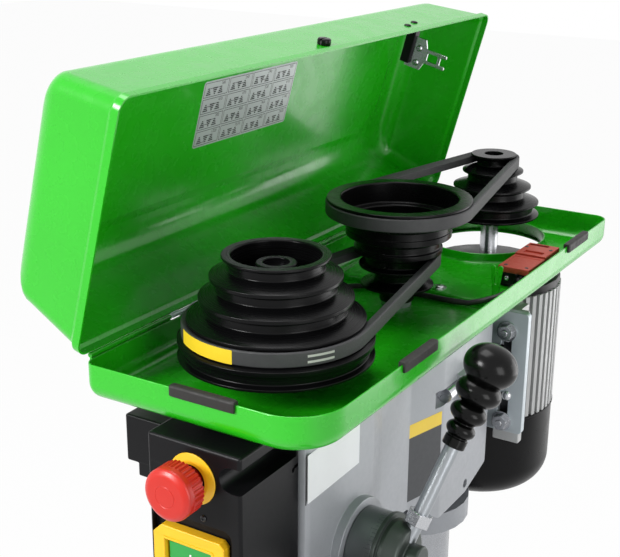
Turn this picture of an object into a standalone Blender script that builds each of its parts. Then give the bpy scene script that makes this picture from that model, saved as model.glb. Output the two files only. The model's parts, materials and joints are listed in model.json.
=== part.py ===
"""Pillar drill press: base, column, table, head with feed, stepped pulleys, motor and hinged lid.

Metres, +Z up, +X to the operator's right, +Y to the back. The origin lies on the floor, under the
column's axis. Heights on the head are measured from the rim of the belt tray.
"""

import math

import bmesh
import bpy
from mathutils import Matrix, Vector

# Fits and shared sheet sizes
FIT = 0.0003
OVERRUN = 0.004
SHEET = 0.0015
WELD = 0.00001
ENLARGED = 1000
ROUND_STEPS = 24
SMALL_STEPS = 12
GRIP_STEPS = 12
PIN_STEPS = 8

# Layout of the machine
THROAT = 0.256
IDLER_SPACING = 0.205
MOTOR_SPACING = 0.215
RIM_HEIGHT = 0.960
SPINDLE_Y = -THROAT
IDLER_Y = SPINDLE_Y + IDLER_SPACING
MOTOR_Y = IDLER_Y + MOTOR_SPACING

# Base
BASE_WIDTH = 0.300
BASE_DEPTH = 0.470
BASE_HEIGHT = 0.045
BASE_REAR = 0.105
BASE_TAPER = 0.012
BASE_CORNER = 0.030
BASE_WALL = 0.016
BASE_TOP_WALL = 0.013
BASE_WEB_HALF = 0.070
POCKET_CORNER = 0.055
SIDE_POCKET_CORNER = 0.012
BASE_SLOT_LENGTH = 0.150
BASE_SLOT_WIDTH = 0.014
BASE_SLOT_SPACING = 0.120
ANCHOR_INSET = 0.024
ANCHOR_RADIUS = 0.006

# Column and its flange
COLUMN_RADIUS = 0.040
COLUMN_WALL = 0.005
COLUMN_HEADROOM = 0.060
FLANGE_RADIUS = 0.085
FLANGE_THICKNESS = 0.018
SOCKET_RADIUS = 0.058
SOCKET_TOP_RADIUS = 0.052
SOCKET_HEIGHT = 0.085
FLANGE_BOLT_CIRCLE = 0.071
FLANGE_BOLT_RADIUS = 0.0095
FLANGE_BOLT_HEIGHT = 0.008
FLANGE_BOLTS = 4

# Rack beside the column, and the ring that holds its upper end
RACK_MODULE = 0.0030
RACK_HALF_WIDTH = 0.009
RACK_BACK = COLUMN_RADIUS + 2 * FIT
RACK_BODY = 0.0095
RACK_PITCH_LINE = RACK_BACK + RACK_BODY
RING_RADIUS = 0.058
RING_HEIGHT = 0.022
RING_COVER = 0.010
RING_DROP = 0.248

# Teeth of every rack and pinion, as shares of the module
PRESSURE = math.radians(20)
ADDENDUM_SHARE = 0.80
DEDENDUM_SHARE = 1.15
BACKLASH_SHARE = 0.12

# Table and its bracket
TABLE_SIZE = 0.290
TABLE_HEIGHT = 0.360
TABLE_CORNER = 0.022
TABLE_TOP = 0.014
TABLE_SKIRT = 0.030
TABLE_WALL = 0.012
TABLE_HOLE_RADIUS = 0.015
TABLE_SLOT_LENGTH = 0.210
TABLE_SLOT_WIDTH = 0.014
TABLE_SLOT_SPACING = 0.120
TABLE_HUB_RADIUS = 0.034
TILT_DROP = 0.050
TILT_DISC_RADIUS = 0.036
TILT_DISC_THICKNESS = 0.022
TILT_PIVOT_RADIUS = 0.011
TILT_PIVOT_LENGTH = 0.016
TILT_FACE = 0.088
TABLE_ARM_HALF = 0.024
BRACKET_RADIUS = 0.060
BRACKET_HEIGHT = 0.100
BRACKET_CENTRE_DROP = 0.065
BRACKET_ARM_HALF = 0.026
LUG_REACH = 0.084
LUG_HALF_DEPTH = 0.020
LUG_HALF_HEIGHT = 0.022
LUG_SLIT = 0.003
PINION_TEETH = 12
PINION_HALF_WIDTH = 0.012
PINION_HOUSING_RADIUS = 0.024
CRANK_SHAFT_RADIUS = 0.008
CRANK_LENGTH = 0.085
CRANK_ARM_THICKNESS = 0.010
CRANK_ARM_RADIUS = 0.013
CRANK_GRIP_RADIUS = 0.0125
CRANK_GRIP_LENGTH = 0.062
CRANK_PIN_RADIUS = 0.0045
CRANK_ANGLE = math.radians(215)
CLAMP_X = 0.071
CLAMP_SCREW_RADIUS = 0.005
CLAMP_HANDLE_LENGTH = 0.075
CLAMP_BALL_RADIUS = 0.010
CLAMP_STANDOFF = 0.016
TILT_Z = TABLE_HEIGHT - TILT_DROP
BRACKET_Z = TABLE_HEIGHT - BRACKET_CENTRE_DROP
PINION_RADIUS = PINION_TEETH * RACK_MODULE / 2
PINION_Y = RACK_PITCH_LINE + PINION_RADIUS

# Head casting
HEAD_FRONT = 0.038
HEAD_REAR = 0.056
HEAD_HALF_WIDTH = 0.052
WAIST_HALF_WIDTH = 0.046
CLAMP_HALF_WIDTH = 0.058
HEAD_FRONT_LENGTH = 0.108
WAIST_REAR = 0.150
CLAMP_FRONT = 0.196
HEAD_BOTTOM = 0.222
WAIST_BOTTOM = 0.208
CLAMP_BOTTOM = 0.236
CLAMP_REAR_BOTTOM = 0.222
REAR_ARM_BOTTOM = 0.203
HEAD_EDGE_RADIUS = 0.008
BARREL_RADIUS = 0.040
BARREL_BOTTOM = 0.262
LOCK_SCREW_HOLE_RADIUS = 0.0045
LOCK_SCREW_HOLE_DEPTH = 0.010
LOCK_SCREW_DROP = 0.226
IDLER_POST_RADIUS = 0.0085
IDLER_SHOULDER_RADIUS = 0.014

# Belt tray
TRAY_WIDTH = 0.208
TRAY_FRONT = 0.110
TRAY_BACK = 0.505
TRAY_DEPTH = 0.0305
TRAY_FLOOR_RADIUS = 0.014
TRAY_FRONT_CORNER = 0.042
TRAY_REAR_CORNER = 0.016
TRAY_BEAD = 0.0012
TRAY_HOLE_CLEARANCE = 0.002
BUMPER_LENGTH = 0.057
BUMPER_WALL = 0.0030
BUMPER_SKIRT = 0.006
BUMPER_FRONT_X = 0.009
BUMPER_SIDE_PLACES = (0.0445, 0.4015)

# Raised plate over the motor opening, with the cable fork on it
MOTOR_OPENING_RADIUS = 0.058
MOTOR_OPENING_STRETCH = 0.020
RISER_HALF_WIDTH = 0.084
RISER_FRONT = 0.240
RISER_BACK = 0.489
RISER_HEIGHT = 0.0050
RISER_CORNER = 0.012
RISER_LIP = 0.010
FORK_X = 0.0755
FORK_Y = 0.262
FORK_WIDTH = 0.013
FORK_HEIGHT = 0.030
FORK_SLOT = 0.003
FORK_SLOT_DEPTH = 0.019

# Pulleys: flange radii from the top, and the outside radius of a belt in each groove
BELT_WIDTH = 0.013
BELT_THICKNESS = 0.008
BELT_ANGLE = math.radians(20)
BELT_SIDE_GAP = 0.0005
BELT_FLOOR_GAP = 0.0018
SPINDLE_FLANGES = (0.0430, 0.0525, 0.0614, 0.0710, 0.0784, 0.0784)
SPINDLE_BELTS = (0.0478, 0.0570, 0.0662, 0.0750, 0.0835)
SPINDLE_TOP_GROOVE = 0.0683
SPINDLE_PITCH = 0.0170
IDLER_FLANGES = (0.0665, 0.0575, 0.0490, 0.0410, 0.0360, 0.0340)
IDLER_BELTS = (0.0678, 0.0580, 0.0490, 0.0400, 0.0310)
IDLER_TOP_GROOVE = 0.0660
MOTOR_FLANGES = (0.0238, 0.0320, 0.0410, 0.0500, 0.0507)
MOTOR_BELTS = (0.0270, 0.0360, 0.0450, 0.0540)
MOTOR_PITCH = 0.0165
LOWER_BELT_GROOVE = 3
UPPER_BELT_GROOVE = 0
FLANGE_EDGE = 0.0022
SPINDLE_CUP_RADIUS = 0.0355
SPINDLE_CUP_FLOOR = 0.046
SPINDLE_HUB_RADIUS = 0.0165
SPINDLE_HUB_TOP = 0.069
SLEEVE_RADIUS = 0.017
SLEEVE_BOTTOM = 0.062
IDLER_CUP_RADIUS = 0.0538
IDLER_CUP_STEP_RADIUS = 0.0440
IDLER_CUP_LOW_RADIUS = 0.0335
IDLER_CUP_STEPS = (0.055, 0.042, 0.026)
IDLER_HUB_RADIUS = 0.016
IDLER_HUB_TOP = 0.036
IDLER_HUB_BOTTOM = 0.024
IDLER_POST_TOP = 0.033
MOTOR_HUB_RADIUS = 0.0165
MOTOR_HUB_BOTTOM = -0.001
MOTOR_SHAFT_RADIUS = 0.0095
MOTOR_SHAFT_TOP = 0.068

# Motor, its plate and the slide bars
MOTOR_RADIUS = 0.080
FIN_DEPTH = 0.007
FINS = 24
FIN_SHARE = 0.36
MOTOR_TOP = 0.062
MOTOR_BOTTOM = 0.1837
FOOT_HEIGHT = 0.080
FOOT_OUTER = 0.088
FOOT_INNER = 0.050
FOOT_THICKNESS = 0.010
FOOT_TOP = 0.066
FOOT_BOTTOM = 0.205
WEB_OUTER = 0.070
WEB_BOTTOM = 0.176
PLATE_THICKNESS = 0.008
PLATE_HALF_WIDTH = 0.086
PLATE_TOP = 0.064
PLATE_BOTTOM = 0.196
PLATE_CORNER = 0.006
STUD_X = 0.0625
STUD_DROPS = (0.086, 0.186)
STUD_RADIUS = 0.004
SLOT_RADIUS = 0.0055
SLOT_RUN = 0.030
WASHER_RADIUS = 0.0098
WASHER_THICKNESS = 0.0018
NUT_RADIUS = 0.0072
NUT_HEIGHT = 0.0065
NUT_TURN = math.radians(17)
BAR_RADIUS = 0.008
BAR_X = 0.056
BAR_DROP = 0.108
BAR_FRONT = 0.200
BAR_BOSS_RADIUS = 0.0145
BAR_BOSS_FRONT = 0.222
SLIDE_TRAVEL = 0.012
BELL_RADIUS = 0.079
BELL_TOP = 0.046
BELL_CROWN_RADIUS = 0.062
BELL_SHOULDER = 0.007
COVER_RADIUS = 0.0797
COVER_TOP = 0.184
COVER_BOTTOM = 0.300
COVER_ROUNDING = 0.034
COVER_WALL = 0.0014
COVER_SLOTS = 6
COVER_SLOT_WIDTH = 0.007
COVER_SLOT_RADII = (0.018, 0.040)
FAN_RADIUS = 0.066
FAN_HUB_RADIUS = 0.020
FAN_TOP = 0.205
FAN_HEIGHT = 0.026
FAN_BLADES = 6
FAN_BLADE_THICKNESS = 0.003
BAR_KNOB_Y = 0.262
BAR_KNOB_RADIUS = 0.011
BAR_KNOB_LENGTH = 0.012
BAR_KNOB_STEM_RADIUS = 0.004

# Quill, spindle and chuck
QUILL_RADIUS = 0.027
QUILL_TOP = 0.075
QUILL_BOTTOM = 0.277
QUILL_RACK_MODULE = 0.002
QUILL_RACK_PITCH_LINE = 0.025
QUILL_RACK_HALF_WIDTH = 0.0095
FEED_TEETH = 14
QUILL_STROKE = 0.085
SPINDLE_RADIUS = 0.010
SPINDLE_TOP = 0.062
SPINDLE_COLLAR_RADIUS = 0.021
SPINDLE_COLLAR = 0.006
CHUCK_TOP = QUILL_BOTTOM + FIT + SPINDLE_COLLAR + FIT
NOSE_RADIUS = 0.0085
NOSE_TIP_RADIUS = 0.0078
NOSE_LENGTH = 0.024
CHUCK_RADIUS = 0.0215
CHUCK_LENGTH = 0.068
CHUCK_HEAD_RADIUS = 0.0245
CHUCK_HEAD_LENGTH = 0.018
CHUCK_NOSE_RADIUS = 0.0125
CHUCK_NOSE_LENGTH = 0.020
CHUCK_MOUTH_RADIUS = 0.0055
CHUCK_MOUTH_DEPTH = 0.030
JAW_SLIT = 0.0016
CHUCK_KEY_HOLE_RADIUS = 0.0035
SLEEVE_RING_RADIUS = 0.0275
SLEEVE_RING_LENGTH = 0.028
SLEEVE_TEETH = 24
SLEEVE_TOOTH_DEPTH = 0.0012

# Feed shaft, hub, levers and return spring housing
FEED_BEHIND = QUILL_RACK_PITCH_LINE + FEED_TEETH * QUILL_RACK_MODULE / 2
FEED_DROP = 0.181
FEED_SHAFT_RADIUS = 0.009
FEED_COLLAR_RADIUS = 0.0155
FEED_COLLAR_START = 0.0160
FEED_PINION_HALF_WIDTH = 0.0085
FEED_BOSS_RADIUS = 0.040
FEED_BOSS_FACE = 0.060
HUB_RADIUS = 0.033
HUB_DRUM_END = 0.091
HUB_BODY_END = 0.104
HUB_NOSE_RADIUS = 0.026
RING_OUTER_RADIUS = 0.0345
RING_WIDTH = 0.0035
HUB_SPIGOT_RADIUS = 0.026
CAP_RADIUS = 0.0135
CAP_END = 0.116
LEVERS = 3
LEVER_FIRST_ANGLE = math.radians(67)
LEVER_LEAN = math.radians(14)
LEVER_ROOT = 0.0965
LEVER_RADIUS = 0.0060
LEVER_START = 0.014
LEVER_END = 0.176
LEVER_NUT_RADIUS = 0.0105
LEVER_NUT_START = 0.031
LEVER_NUT_END = 0.041
GRIP_START = 0.102
GRIP_LENGTH = 0.098
GRIP_END_RADIUS = 0.0228
GRIP_BEAD_PLACE_SHARES = (0.045, 0.190, 0.370, 0.560, 0.800)
GRIP_BEAD_LENGTH_SHARES = (0.110, 0.150, 0.200, 0.220, 0.400)
GRIP_BEAD_RADIUS_SHARES = (0.640, 0.690, 0.820, 0.930, 1.000)
GRIP_BEAD_STEP_SHARES = (0.95, 0.60, 0.0, -0.60, -0.95)
GRIP_NECK_SHARE = 0.80
SPRING_CUP_RADIUS = 0.030
SPRING_CUP_WIDTH = 0.022
SPRING_CUP_CENTRE = 0.008
DEPTH_RING_END = 0.0835
DEPTH_SCREW_X = 0.0745
DEPTH_SCREW_RADIUS = 0.0035
DEPTH_SCREW_ANGLE = math.radians(188)
DEPTH_KNOB_START = 0.036
DEPTH_KNOB_LENGTH = 0.014
DEPTH_KNOB_RADIUS = 0.0130
DEPTH_KNOB_LOBES = 5
DEPTH_KNOB_WAVE_SHARE = 0.13

# Switch box with emergency stop and push buttons
BOX_LEFT = -0.038
BOX_RIGHT = 0.046
BOX_FRONT = 0.117
BOX_TOP = 0.037
BOX_BOTTOM = 0.208
BOX_EDGE = 0.0025
GROOVE_DROP = 0.057
GROOVE_RADIUS = 0.010
GROOVE_DEPTH = 0.0185
GROOVE_END_WALL = 0.006
RECESS_LEFT = -0.035
RECESS_RIGHT = 0.037
RECESS_TOP = 0.100
RECESS_BOTTOM = 0.196
RECESS_DEPTH = 0.005
RECESS_CORNER = 0.010
SIDE_BLOCK_LEFT = -0.082
SIDE_BLOCK_FRONT = 0.090
SIDE_BLOCK_TOP = 0.045
SIDE_BLOCK_BOTTOM = 0.096
SIDE_BLOCK_STEP = 0.011
ESTOP_X = 0.004
ESTOP_DROP = 0.064
ESTOP_RING_RADIUS = 0.0205
ESTOP_RING_THICKNESS = 0.003
ESTOP_HEAD_RADIUS = 0.0205
ESTOP_HEAD_BACK_RADIUS = 0.0175
ESTOP_HEAD_LENGTH = 0.018
ESTOP_REACH = 0.033
ESTOP_NECK_RADIUS = 0.0120
ESTOP_STEM_RADIUS = 0.0080
ESTOP_TRAVEL = 0.004
ESTOP_TEETH = 24
ESTOP_TOOTH = 0.0007
FRAME_LEFT = -0.0325
FRAME_RIGHT = 0.0330
FRAME_TOP = 0.109
FRAME_BOTTOM = 0.187
FRAME_CHAMFER = 0.008
FRAME_RIM = 0.011
FRAME_PROUD = 0.004
BUTTON_SIDE = 0.0015
BUTTON_PROUD = 0.001
BUTTON_TRAVEL = 0.003
BUTTON_EDGE = 0.0012

# Lid, in its own closed frame: u runs right from the hinge axis, d runs up from it
LID_OPEN_ANGLE = math.radians(74.7)
HINGE_OUTSET = 0.0015
HINGE_LIFT = 0.0020
LID_WIDTH = 0.213
LID_RIM = 0.0015
LID_DEPTH = 0.088
LID_FRONT = 0.114
LID_BACK = 0.509
LID_LIP = 0.0095
LID_JOGGLE = 0.0020
LID_JOGGLE_RUN = 0.0030
LID_LEFT_DRAFT = math.radians(10)
LID_RIGHT_DRAFT = math.radians(7)
LID_END_DRAFT = math.radians(6)
LID_TOP_ROUNDING = 0.025
LID_CORNER = 0.012
LID_CORNER_GROWTH = 0.8
PANEL_MARGIN = 0.0175
PANEL_BEVEL = 0.0100
PANEL_PRESS = 0.0030
HINGE_PLACES = (0.020, 0.400)
KNUCKLE_RADIUS = 0.0021
KNUCKLE_HALF = 0.009
KNUCKLE_END_HALF = 0.019
HINGE_PIN_RADIUS = 0.0010
HINGE_LEAF_DROP = 0.018
LID_KNOB_Y = 0.180
LID_KNOB_D = 0.0180
LID_KNOB_RADIUS = 0.0062
LID_KNOB_LENGTH = 0.006
LID_KNOB_STEM_RADIUS = 0.0030
LID_KNOB_INNER_RADIUS = 0.0055

# Lid interlock: key on the lid, switch in the tray, and its cable
KEY_Y = 0.3645
KEY_THICKNESS = 0.0022
KEY_U = 0.1825
KEY_HALF = 0.0075
KEY_TINE = 0.0035
KEY_TIP = -0.0230
KEY_CROSS = (-0.0175, -0.0145)
KEY_ROOT = 0.0060
KEY_PLATE_END = 0.0210
KEY_PLATE_HALF = 0.0160
HOLDER_D = (0.0150, 0.0260)
HOLDER_HALF_DEPTH = 0.004
SWITCH_LEFT = 0.0640
SWITCH_RIGHT = 0.0985
SWITCH_FRONT = 0.2830
SWITCH_SPLIT = 0.3300
SWITCH_BACK = 0.3740
SWITCH_TOP = -0.0005
SWITCH_CAP = 0.0060
SWITCH_CAP_STEP = 0.0020
SWITCH_EDGE = 0.0010
KEY_SLOT_HALF_U = 0.0110
KEY_SLOT_HALF_Y = 0.0026
KEY_SLOT_SHIFT = 0.0020
GLAND_RADIUS = 0.0060
GLAND_LENGTH = 0.009
GLAND_DROP = 0.0158
GLAND_INSET = 0.0100
CABLE_RADIUS = 0.0028
CABLE_HOLE_X = -0.074
CABLE_HOLE_Y = 0.1200
CABLE_HOLE_RADIUS = 0.0070
CABLE_BOX_X = -0.066
CABLE_BOX_DROP = 0.070
CABLE_ROUTE = (
    (0.0885, 0.264, 0.0170),
    (0.0860, 0.252, 0.0185),
    (0.0780, 0.241, 0.0200),
    (0.0650, 0.2335, 0.0245),
    (0.0450, 0.2320, 0.0259),
    (0.0000, 0.2320, 0.0259),
    (-0.0400, 0.2280, 0.0259),
    (-0.0640, 0.2060, 0.0259),
    (-0.0730, 0.1720, 0.0259),
    (-0.0740, 0.1400, 0.0250),
    (-0.0740, 0.1280, 0.0235),
    (-0.0740, 0.1210, 0.0280),
    (-0.0740, 0.1195, 0.0400),
    (-0.0730, 0.1100, 0.0560),
    (-0.0680, 0.0700, 0.0680),
    (-0.0660, 0.0200, 0.0710),
)

PARTS = bpy.data.collections.new("pillar_drill_press")
CUTTERS = bpy.data.collections.new("cutters")
MATERIALS = {}


def spindle_point(x, y, drop):
    """A point on the head: x and y from the spindle's axis, drop below the tray's rim."""
    return Vector((x, SPINDLE_Y + y, RIM_HEIGHT - drop))


def clear_scene():
    for item in list(bpy.data.objects):
        bpy.data.objects.remove(item, do_unlink=True)
    bpy.context.scene.collection.children.link(PARTS)
    bpy.context.scene.collection.children.link(CUTTERS)


def material(name, colour, roughness, metallic=0.0):
    made = bpy.data.materials.new(name)
    made.use_nodes = True
    shader = made.node_tree.nodes["Principled BSDF"]
    shader.inputs["Base Color"].default_value = (*colour, 1.0)
    shader.inputs["Roughness"].default_value = roughness
    shader.inputs["Metallic"].default_value = metallic
    made.diffuse_color = (*colour, 1.0)
    MATERIALS[name] = made


def make_materials():
    material("green_paint", (0.07, 0.68, 0.03), 0.30)
    material("head_paint", (0.45, 0.47, 0.50), 0.42)
    material("cast_iron", (0.34, 0.35, 0.37), 0.50, 0.6)
    material("ground_iron", (0.55, 0.56, 0.58), 0.30, 0.9)
    material("dark_steel", (0.16, 0.18, 0.18), 0.35, 0.9)
    material("bright_steel", (0.68, 0.69, 0.71), 0.18, 1.0)
    material("column_steel", (0.50, 0.51, 0.53), 0.25, 1.0)
    material("zinc_plate", (0.58, 0.61, 0.64), 0.35, 0.8)
    material("black_pulley", (0.012, 0.012, 0.013), 0.28)
    material("belt_rubber", (0.035, 0.035, 0.038), 0.60)
    material("aluminium_frame", (0.52, 0.53, 0.54), 0.40, 0.7)
    material("black_paint", (0.014, 0.014, 0.015), 0.35)
    material("box_plastic", (0.022, 0.022, 0.024), 0.45)
    material("gloss_black", (0.010, 0.010, 0.010), 0.12)
    material("red_button", (0.85, 0.07, 0.03), 0.35)
    material("green_button", (0.04, 0.40, 0.08), 0.35)
    material("yellow_plastic", (0.90, 0.55, 0.02), 0.40)
    material("switch_red", (0.45, 0.10, 0.05), 0.50)
    material("bumper_rubber", (0.030, 0.028, 0.028), 0.70)
    material("cable_black", (0.015, 0.015, 0.015), 0.55)


def dress(obj, material_name):
    obj.data.materials.clear()
    obj.data.materials.append(MATERIALS[material_name])
    return obj


def mesh_object(name, bm, collection=PARTS):
    bmesh.ops.recalc_face_normals(bm, faces=bm.faces)
    mesh = bpy.data.meshes.new(name)
    bm.to_mesh(mesh)
    bm.free()
    obj = bpy.data.objects.new(name, mesh)
    collection.objects.link(obj)
    return obj


def along(direction, start):
    """The matrix that takes +Z to a direction and the origin to start."""
    turn = Vector(direction).to_track_quat("Z", "Y")
    return Matrix.Translation(start) @ turn.to_matrix().to_4x4()


def facing(axis, at):
    """Local XY becomes the plane across an axis: YZ for X, XZ for Y, XY for Z."""
    rows = {
        "X": ((0, 0, 1), (1, 0, 0), (0, 1, 0)),
        "Y": ((1, 0, 0), (0, 0, -1), (0, 1, 0)),
        "Z": ((1, 0, 0), (0, 1, 0), (0, 0, 1)),
    }
    return Matrix.Translation(at) @ Matrix(rows[axis]).to_4x4()


def turning_bore(radius, steps=ROUND_STEPS):
    """The radius of a faceted hole that clears a round piece at every angle."""
    return (radius + FIT) / math.cos(math.pi / steps)


def upright_strip():
    """Local x runs up and local -y runs back, for a rack drawn along x."""
    return facing("X", (0, 0, 0)) @ Matrix.Rotation(math.pi / 2, 4, "Z")


def rod(name, radius, start, end, steps=ROUND_STEPS, end_radius=None, spin=0.0):
    """A cylinder, cone or prism between two points."""
    start, end = Vector(start), Vector(end)
    bm = bmesh.new()
    bmesh.ops.create_cone(
        bm,
        cap_ends=True,
        segments=steps,
        radius1=radius,
        radius2=radius if end_radius is None else end_radius,
        depth=(end - start).length,
        matrix=Matrix.Rotation(spin, 4, "Z"),
    )
    obj = mesh_object(name, bm)
    obj.data.transform(along(end - start, (start + end) / 2))
    return obj


def block(name, low, high, edge=0.0):
    low, high = Vector(low), Vector(high)
    size = high - low
    bm = bmesh.new()
    bmesh.ops.create_cube(bm, size=1)
    bmesh.ops.transform(bm, matrix=Matrix.Diagonal((*size, 1)), verts=bm.verts)
    if edge:
        bmesh.ops.bevel(bm, geom=bm.edges, offset=edge, segments=2, profile=0.5, affect="EDGES")
    obj = mesh_object(name, bm)
    obj.data.transform(Matrix.Translation((low + high) / 2))
    return obj


def turned(name, profile, place, steps=ROUND_STEPS, ring=False):
    """Turns a profile of (radius, height) points, listed down its outer side, with a Screw."""
    bm = bmesh.new()
    points = [bm.verts.new((radius, 0, height)) for radius, height in profile]
    for first, second in zip(points, points[1:]):
        bm.edges.new((first, second))
    if ring:
        bm.edges.new((points[-1], points[0]))
    mesh = bpy.data.meshes.new(name)
    bm.to_mesh(mesh)
    bm.free()
    obj = bpy.data.objects.new(name, mesh)
    PARTS.objects.link(obj)
    obj.matrix_world = place
    screw = obj.modifiers.new("turn", "SCREW")
    screw.steps = screw.render_steps = steps
    screw.use_merge_vertices = True
    screw.merge_threshold = WELD
    return obj


def as_mesh(guide, name):
    """The mesh of a guide object, with its loose caps welded; the guide is removed."""
    bpy.context.view_layer.update()
    graph = bpy.context.evaluated_depsgraph_get()
    mesh = bpy.data.meshes.new_from_object(guide.evaluated_get(graph))
    place = guide.matrix_world.copy()
    data = guide.data
    bpy.data.objects.remove(guide, do_unlink=True)
    if isinstance(data, bpy.types.Curve):
        bpy.data.curves.remove(data)
    bm = bmesh.new()
    bm.from_mesh(mesh)
    bpy.data.meshes.remove(mesh)
    bm.transform(place)
    bmesh.ops.remove_doubles(bm, verts=bm.verts, dist=WELD)
    return mesh_object(name, bm)


def plate(name, outline, thickness, place, holes=()):
    """A flat outline, with any holes, thickened evenly about its plane.

    It is drawn enlarged, because the fill of a curve merges points that are very close.
    """
    curve = bpy.data.curves.new(name + "_outline", "CURVE")
    curve.dimensions = "2D"
    curve.fill_mode = "BOTH"
    curve.extrude = thickness * ENLARGED / 2
    for loop in (outline, *holes):
        spline = curve.splines.new("POLY")
        spline.points.add(len(loop) - 1)
        for point, (x, y) in zip(spline.points, loop):
            point.co = (x * ENLARGED, y * ENLARGED, 0, 1)
        spline.use_cyclic_u = True
    guide = bpy.data.objects.new(curve.name, curve)
    PARTS.objects.link(guide)
    guide.matrix_world = place @ Matrix.Scale(1 / ENLARGED, 4)
    return as_mesh(guide, name)


def tool(obj):
    PARTS.objects.unlink(obj)
    CUTTERS.objects.link(obj)
    obj.hide_render = True
    obj.display_type = "WIRE"
    return obj


def combine(target, other, operation):
    modifier = target.modifiers.new(other.name, "BOOLEAN")
    modifier.operation = operation
    modifier.solver = "EXACT"
    modifier.object = tool(other)
    return target


def cut(target, *others):
    for other in others:
        combine(target, other, "DIFFERENCE")
    return target


def join(target, *others):
    for other in others:
        combine(target, other, "UNION")
    return target


def settled(obj, place):
    """The object's finished mesh, turned or moved as one piece."""
    name = obj.name
    obj.name = name + "_form"
    made = as_mesh(obj, name)
    made.data.transform(place)
    return made


def arc(centre, radius, start, end, steps):
    """Points on an arc, from one angle to another."""
    turn = (end - start) / steps
    return [
        (
            centre[0] + radius * math.cos(start + turn * step),
            centre[1] + radius * math.sin(start + turn * step),
        )
        for step in range(steps + 1)
    ]


def rounded_box(left, right, front, back, radii, steps=3):
    """A rectangle's outline; radii are those of its rear right, rear left, front left and front right."""
    places = ((right, back), (left, back), (left, front), (right, front))
    towards = ((-1, -1), (1, -1), (1, 1), (-1, 1))
    quarter = math.pi / 2
    outline = []
    for index, ((x, y), (dx, dy), radius) in enumerate(zip(places, towards, radii)):
        centre = (x + dx * radius, y + dy * radius)
        outline += arc(centre, radius, index * quarter, (index + 1) * quarter, steps)
    return outline


def obround(centre, half_run, radius, upright=True, steps=5):
    """A slot's outline: two half circles joined by straight sides."""
    x, y = centre
    half = math.pi
    if upright:
        return arc((x, y + half_run), radius, 0, half, steps) + arc(
            (x, y - half_run), radius, half, 2 * half, steps
        )
    return arc((x + half_run, y), radius, -half / 2, half / 2, steps) + arc(
        (x - half_run, y), radius, half / 2, 3 * half / 2, steps
    )


def rounded_outline(corners, steps=2):
    """A closed outline from (x, y, radius) corners, each rounded by an arc."""
    count = len(corners)
    outline = []
    for index, (x, y, radius) in enumerate(corners):
        here = Vector((x, y))
        before = (Vector(corners[index - 1][:2]) - here).normalized()
        after = (Vector(corners[(index + 1) % count][:2]) - here).normalized()
        if not radius:
            outline.append((x, y))
            continue
        half_angle = before.angle(after) / 2
        reach = radius / math.tan(half_angle)
        centre = here + (before + after).normalized() * radius / math.sin(half_angle)
        first = here + before * reach - centre
        last = here + after * reach - centre
        start = math.atan2(first.y, first.x)
        sweep = math.atan2(last.y, last.x) - start
        sweep = (sweep + math.pi) % (2 * math.pi) - math.pi
        outline += arc(centre, radius, start, start + sweep, steps)
    return outline


def loft(name, rings, close_first=False, close_last=True):
    """A skin over a stack of outlines with equally many points; each ring is (outline, height)."""
    bm = bmesh.new()
    loops = [[bm.verts.new((x, y, z)) for x, y in outline] for outline, z in rings]
    count = len(loops[0])
    for lower, upper in zip(loops, loops[1:]):
        for index in range(count):
            following = (index + 1) % count
            bm.faces.new((lower[index], lower[following], upper[following], upper[index]))
    if close_first:
        bm.faces.new(loops[0])
    if close_last:
        bm.faces.new(loops[-1])
    return mesh_object(name, bm)


def thicken(obj, thickness):
    """Gives an open skin a wall on its inner side."""
    solid = obj.modifiers.new("wall", "SOLIDIFY")
    solid.thickness = thickness
    solid.offset = -1
    solid.use_even_offset = True
    return obj


def involute(angle):
    return math.tan(angle) - angle


def gear_outline(teeth, module):
    """A spur gear's outline, with a tooth pointing along +X."""
    pitch = teeth * module / 2
    base = pitch * math.cos(PRESSURE)
    tip = pitch + ADDENDUM_SHARE * module
    root = pitch - DEDENDUM_SHARE * module
    half_at_pitch = math.pi / (2 * teeth) - BACKLASH_SHARE * module / (2 * pitch)

    def half_width(radius):
        pressure_here = math.acos(min(1, base / max(radius, base)))
        return half_at_pitch + involute(PRESSURE) - involute(pressure_here)

    radii = (root, pitch, tip)
    outline = []
    for tooth in range(teeth):
        middle = 2 * math.pi * tooth / teeth
        flank = [(radius, middle - half_width(radius)) for radius in radii]
        flank += [(radius, middle + half_width(radius)) for radius in reversed(radii)]
        outline += [(radius * math.cos(a), radius * math.sin(a)) for radius, a in flank]
    return outline


def rack_edge(module, start, end, phase):
    """(along, out) points down a rack's toothed edge, out from its pitch line.

    phase is a place along the rack where a gap is centred.
    """
    pitch = math.pi * module
    slope = math.tan(PRESSURE)
    up = ADDENDUM_SHARE * module
    down = DEDENDUM_SHARE * module
    half_gap = pitch / 4 + BACKLASH_SHARE * module / 2
    first = math.ceil((start - phase) / pitch + 0.5)
    last = math.floor((end - phase) / pitch - 0.5)
    points = [(start, up)]
    for number in range(first, last + 1):
        middle = phase + number * pitch
        points.append((middle - half_gap - up * slope, up))
        points.append((middle - half_gap + down * slope, -down))
        points.append((middle + half_gap - down * slope, -down))
        points.append((middle + half_gap + up * slope, up))
    points.append((end, up))
    return points


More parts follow.
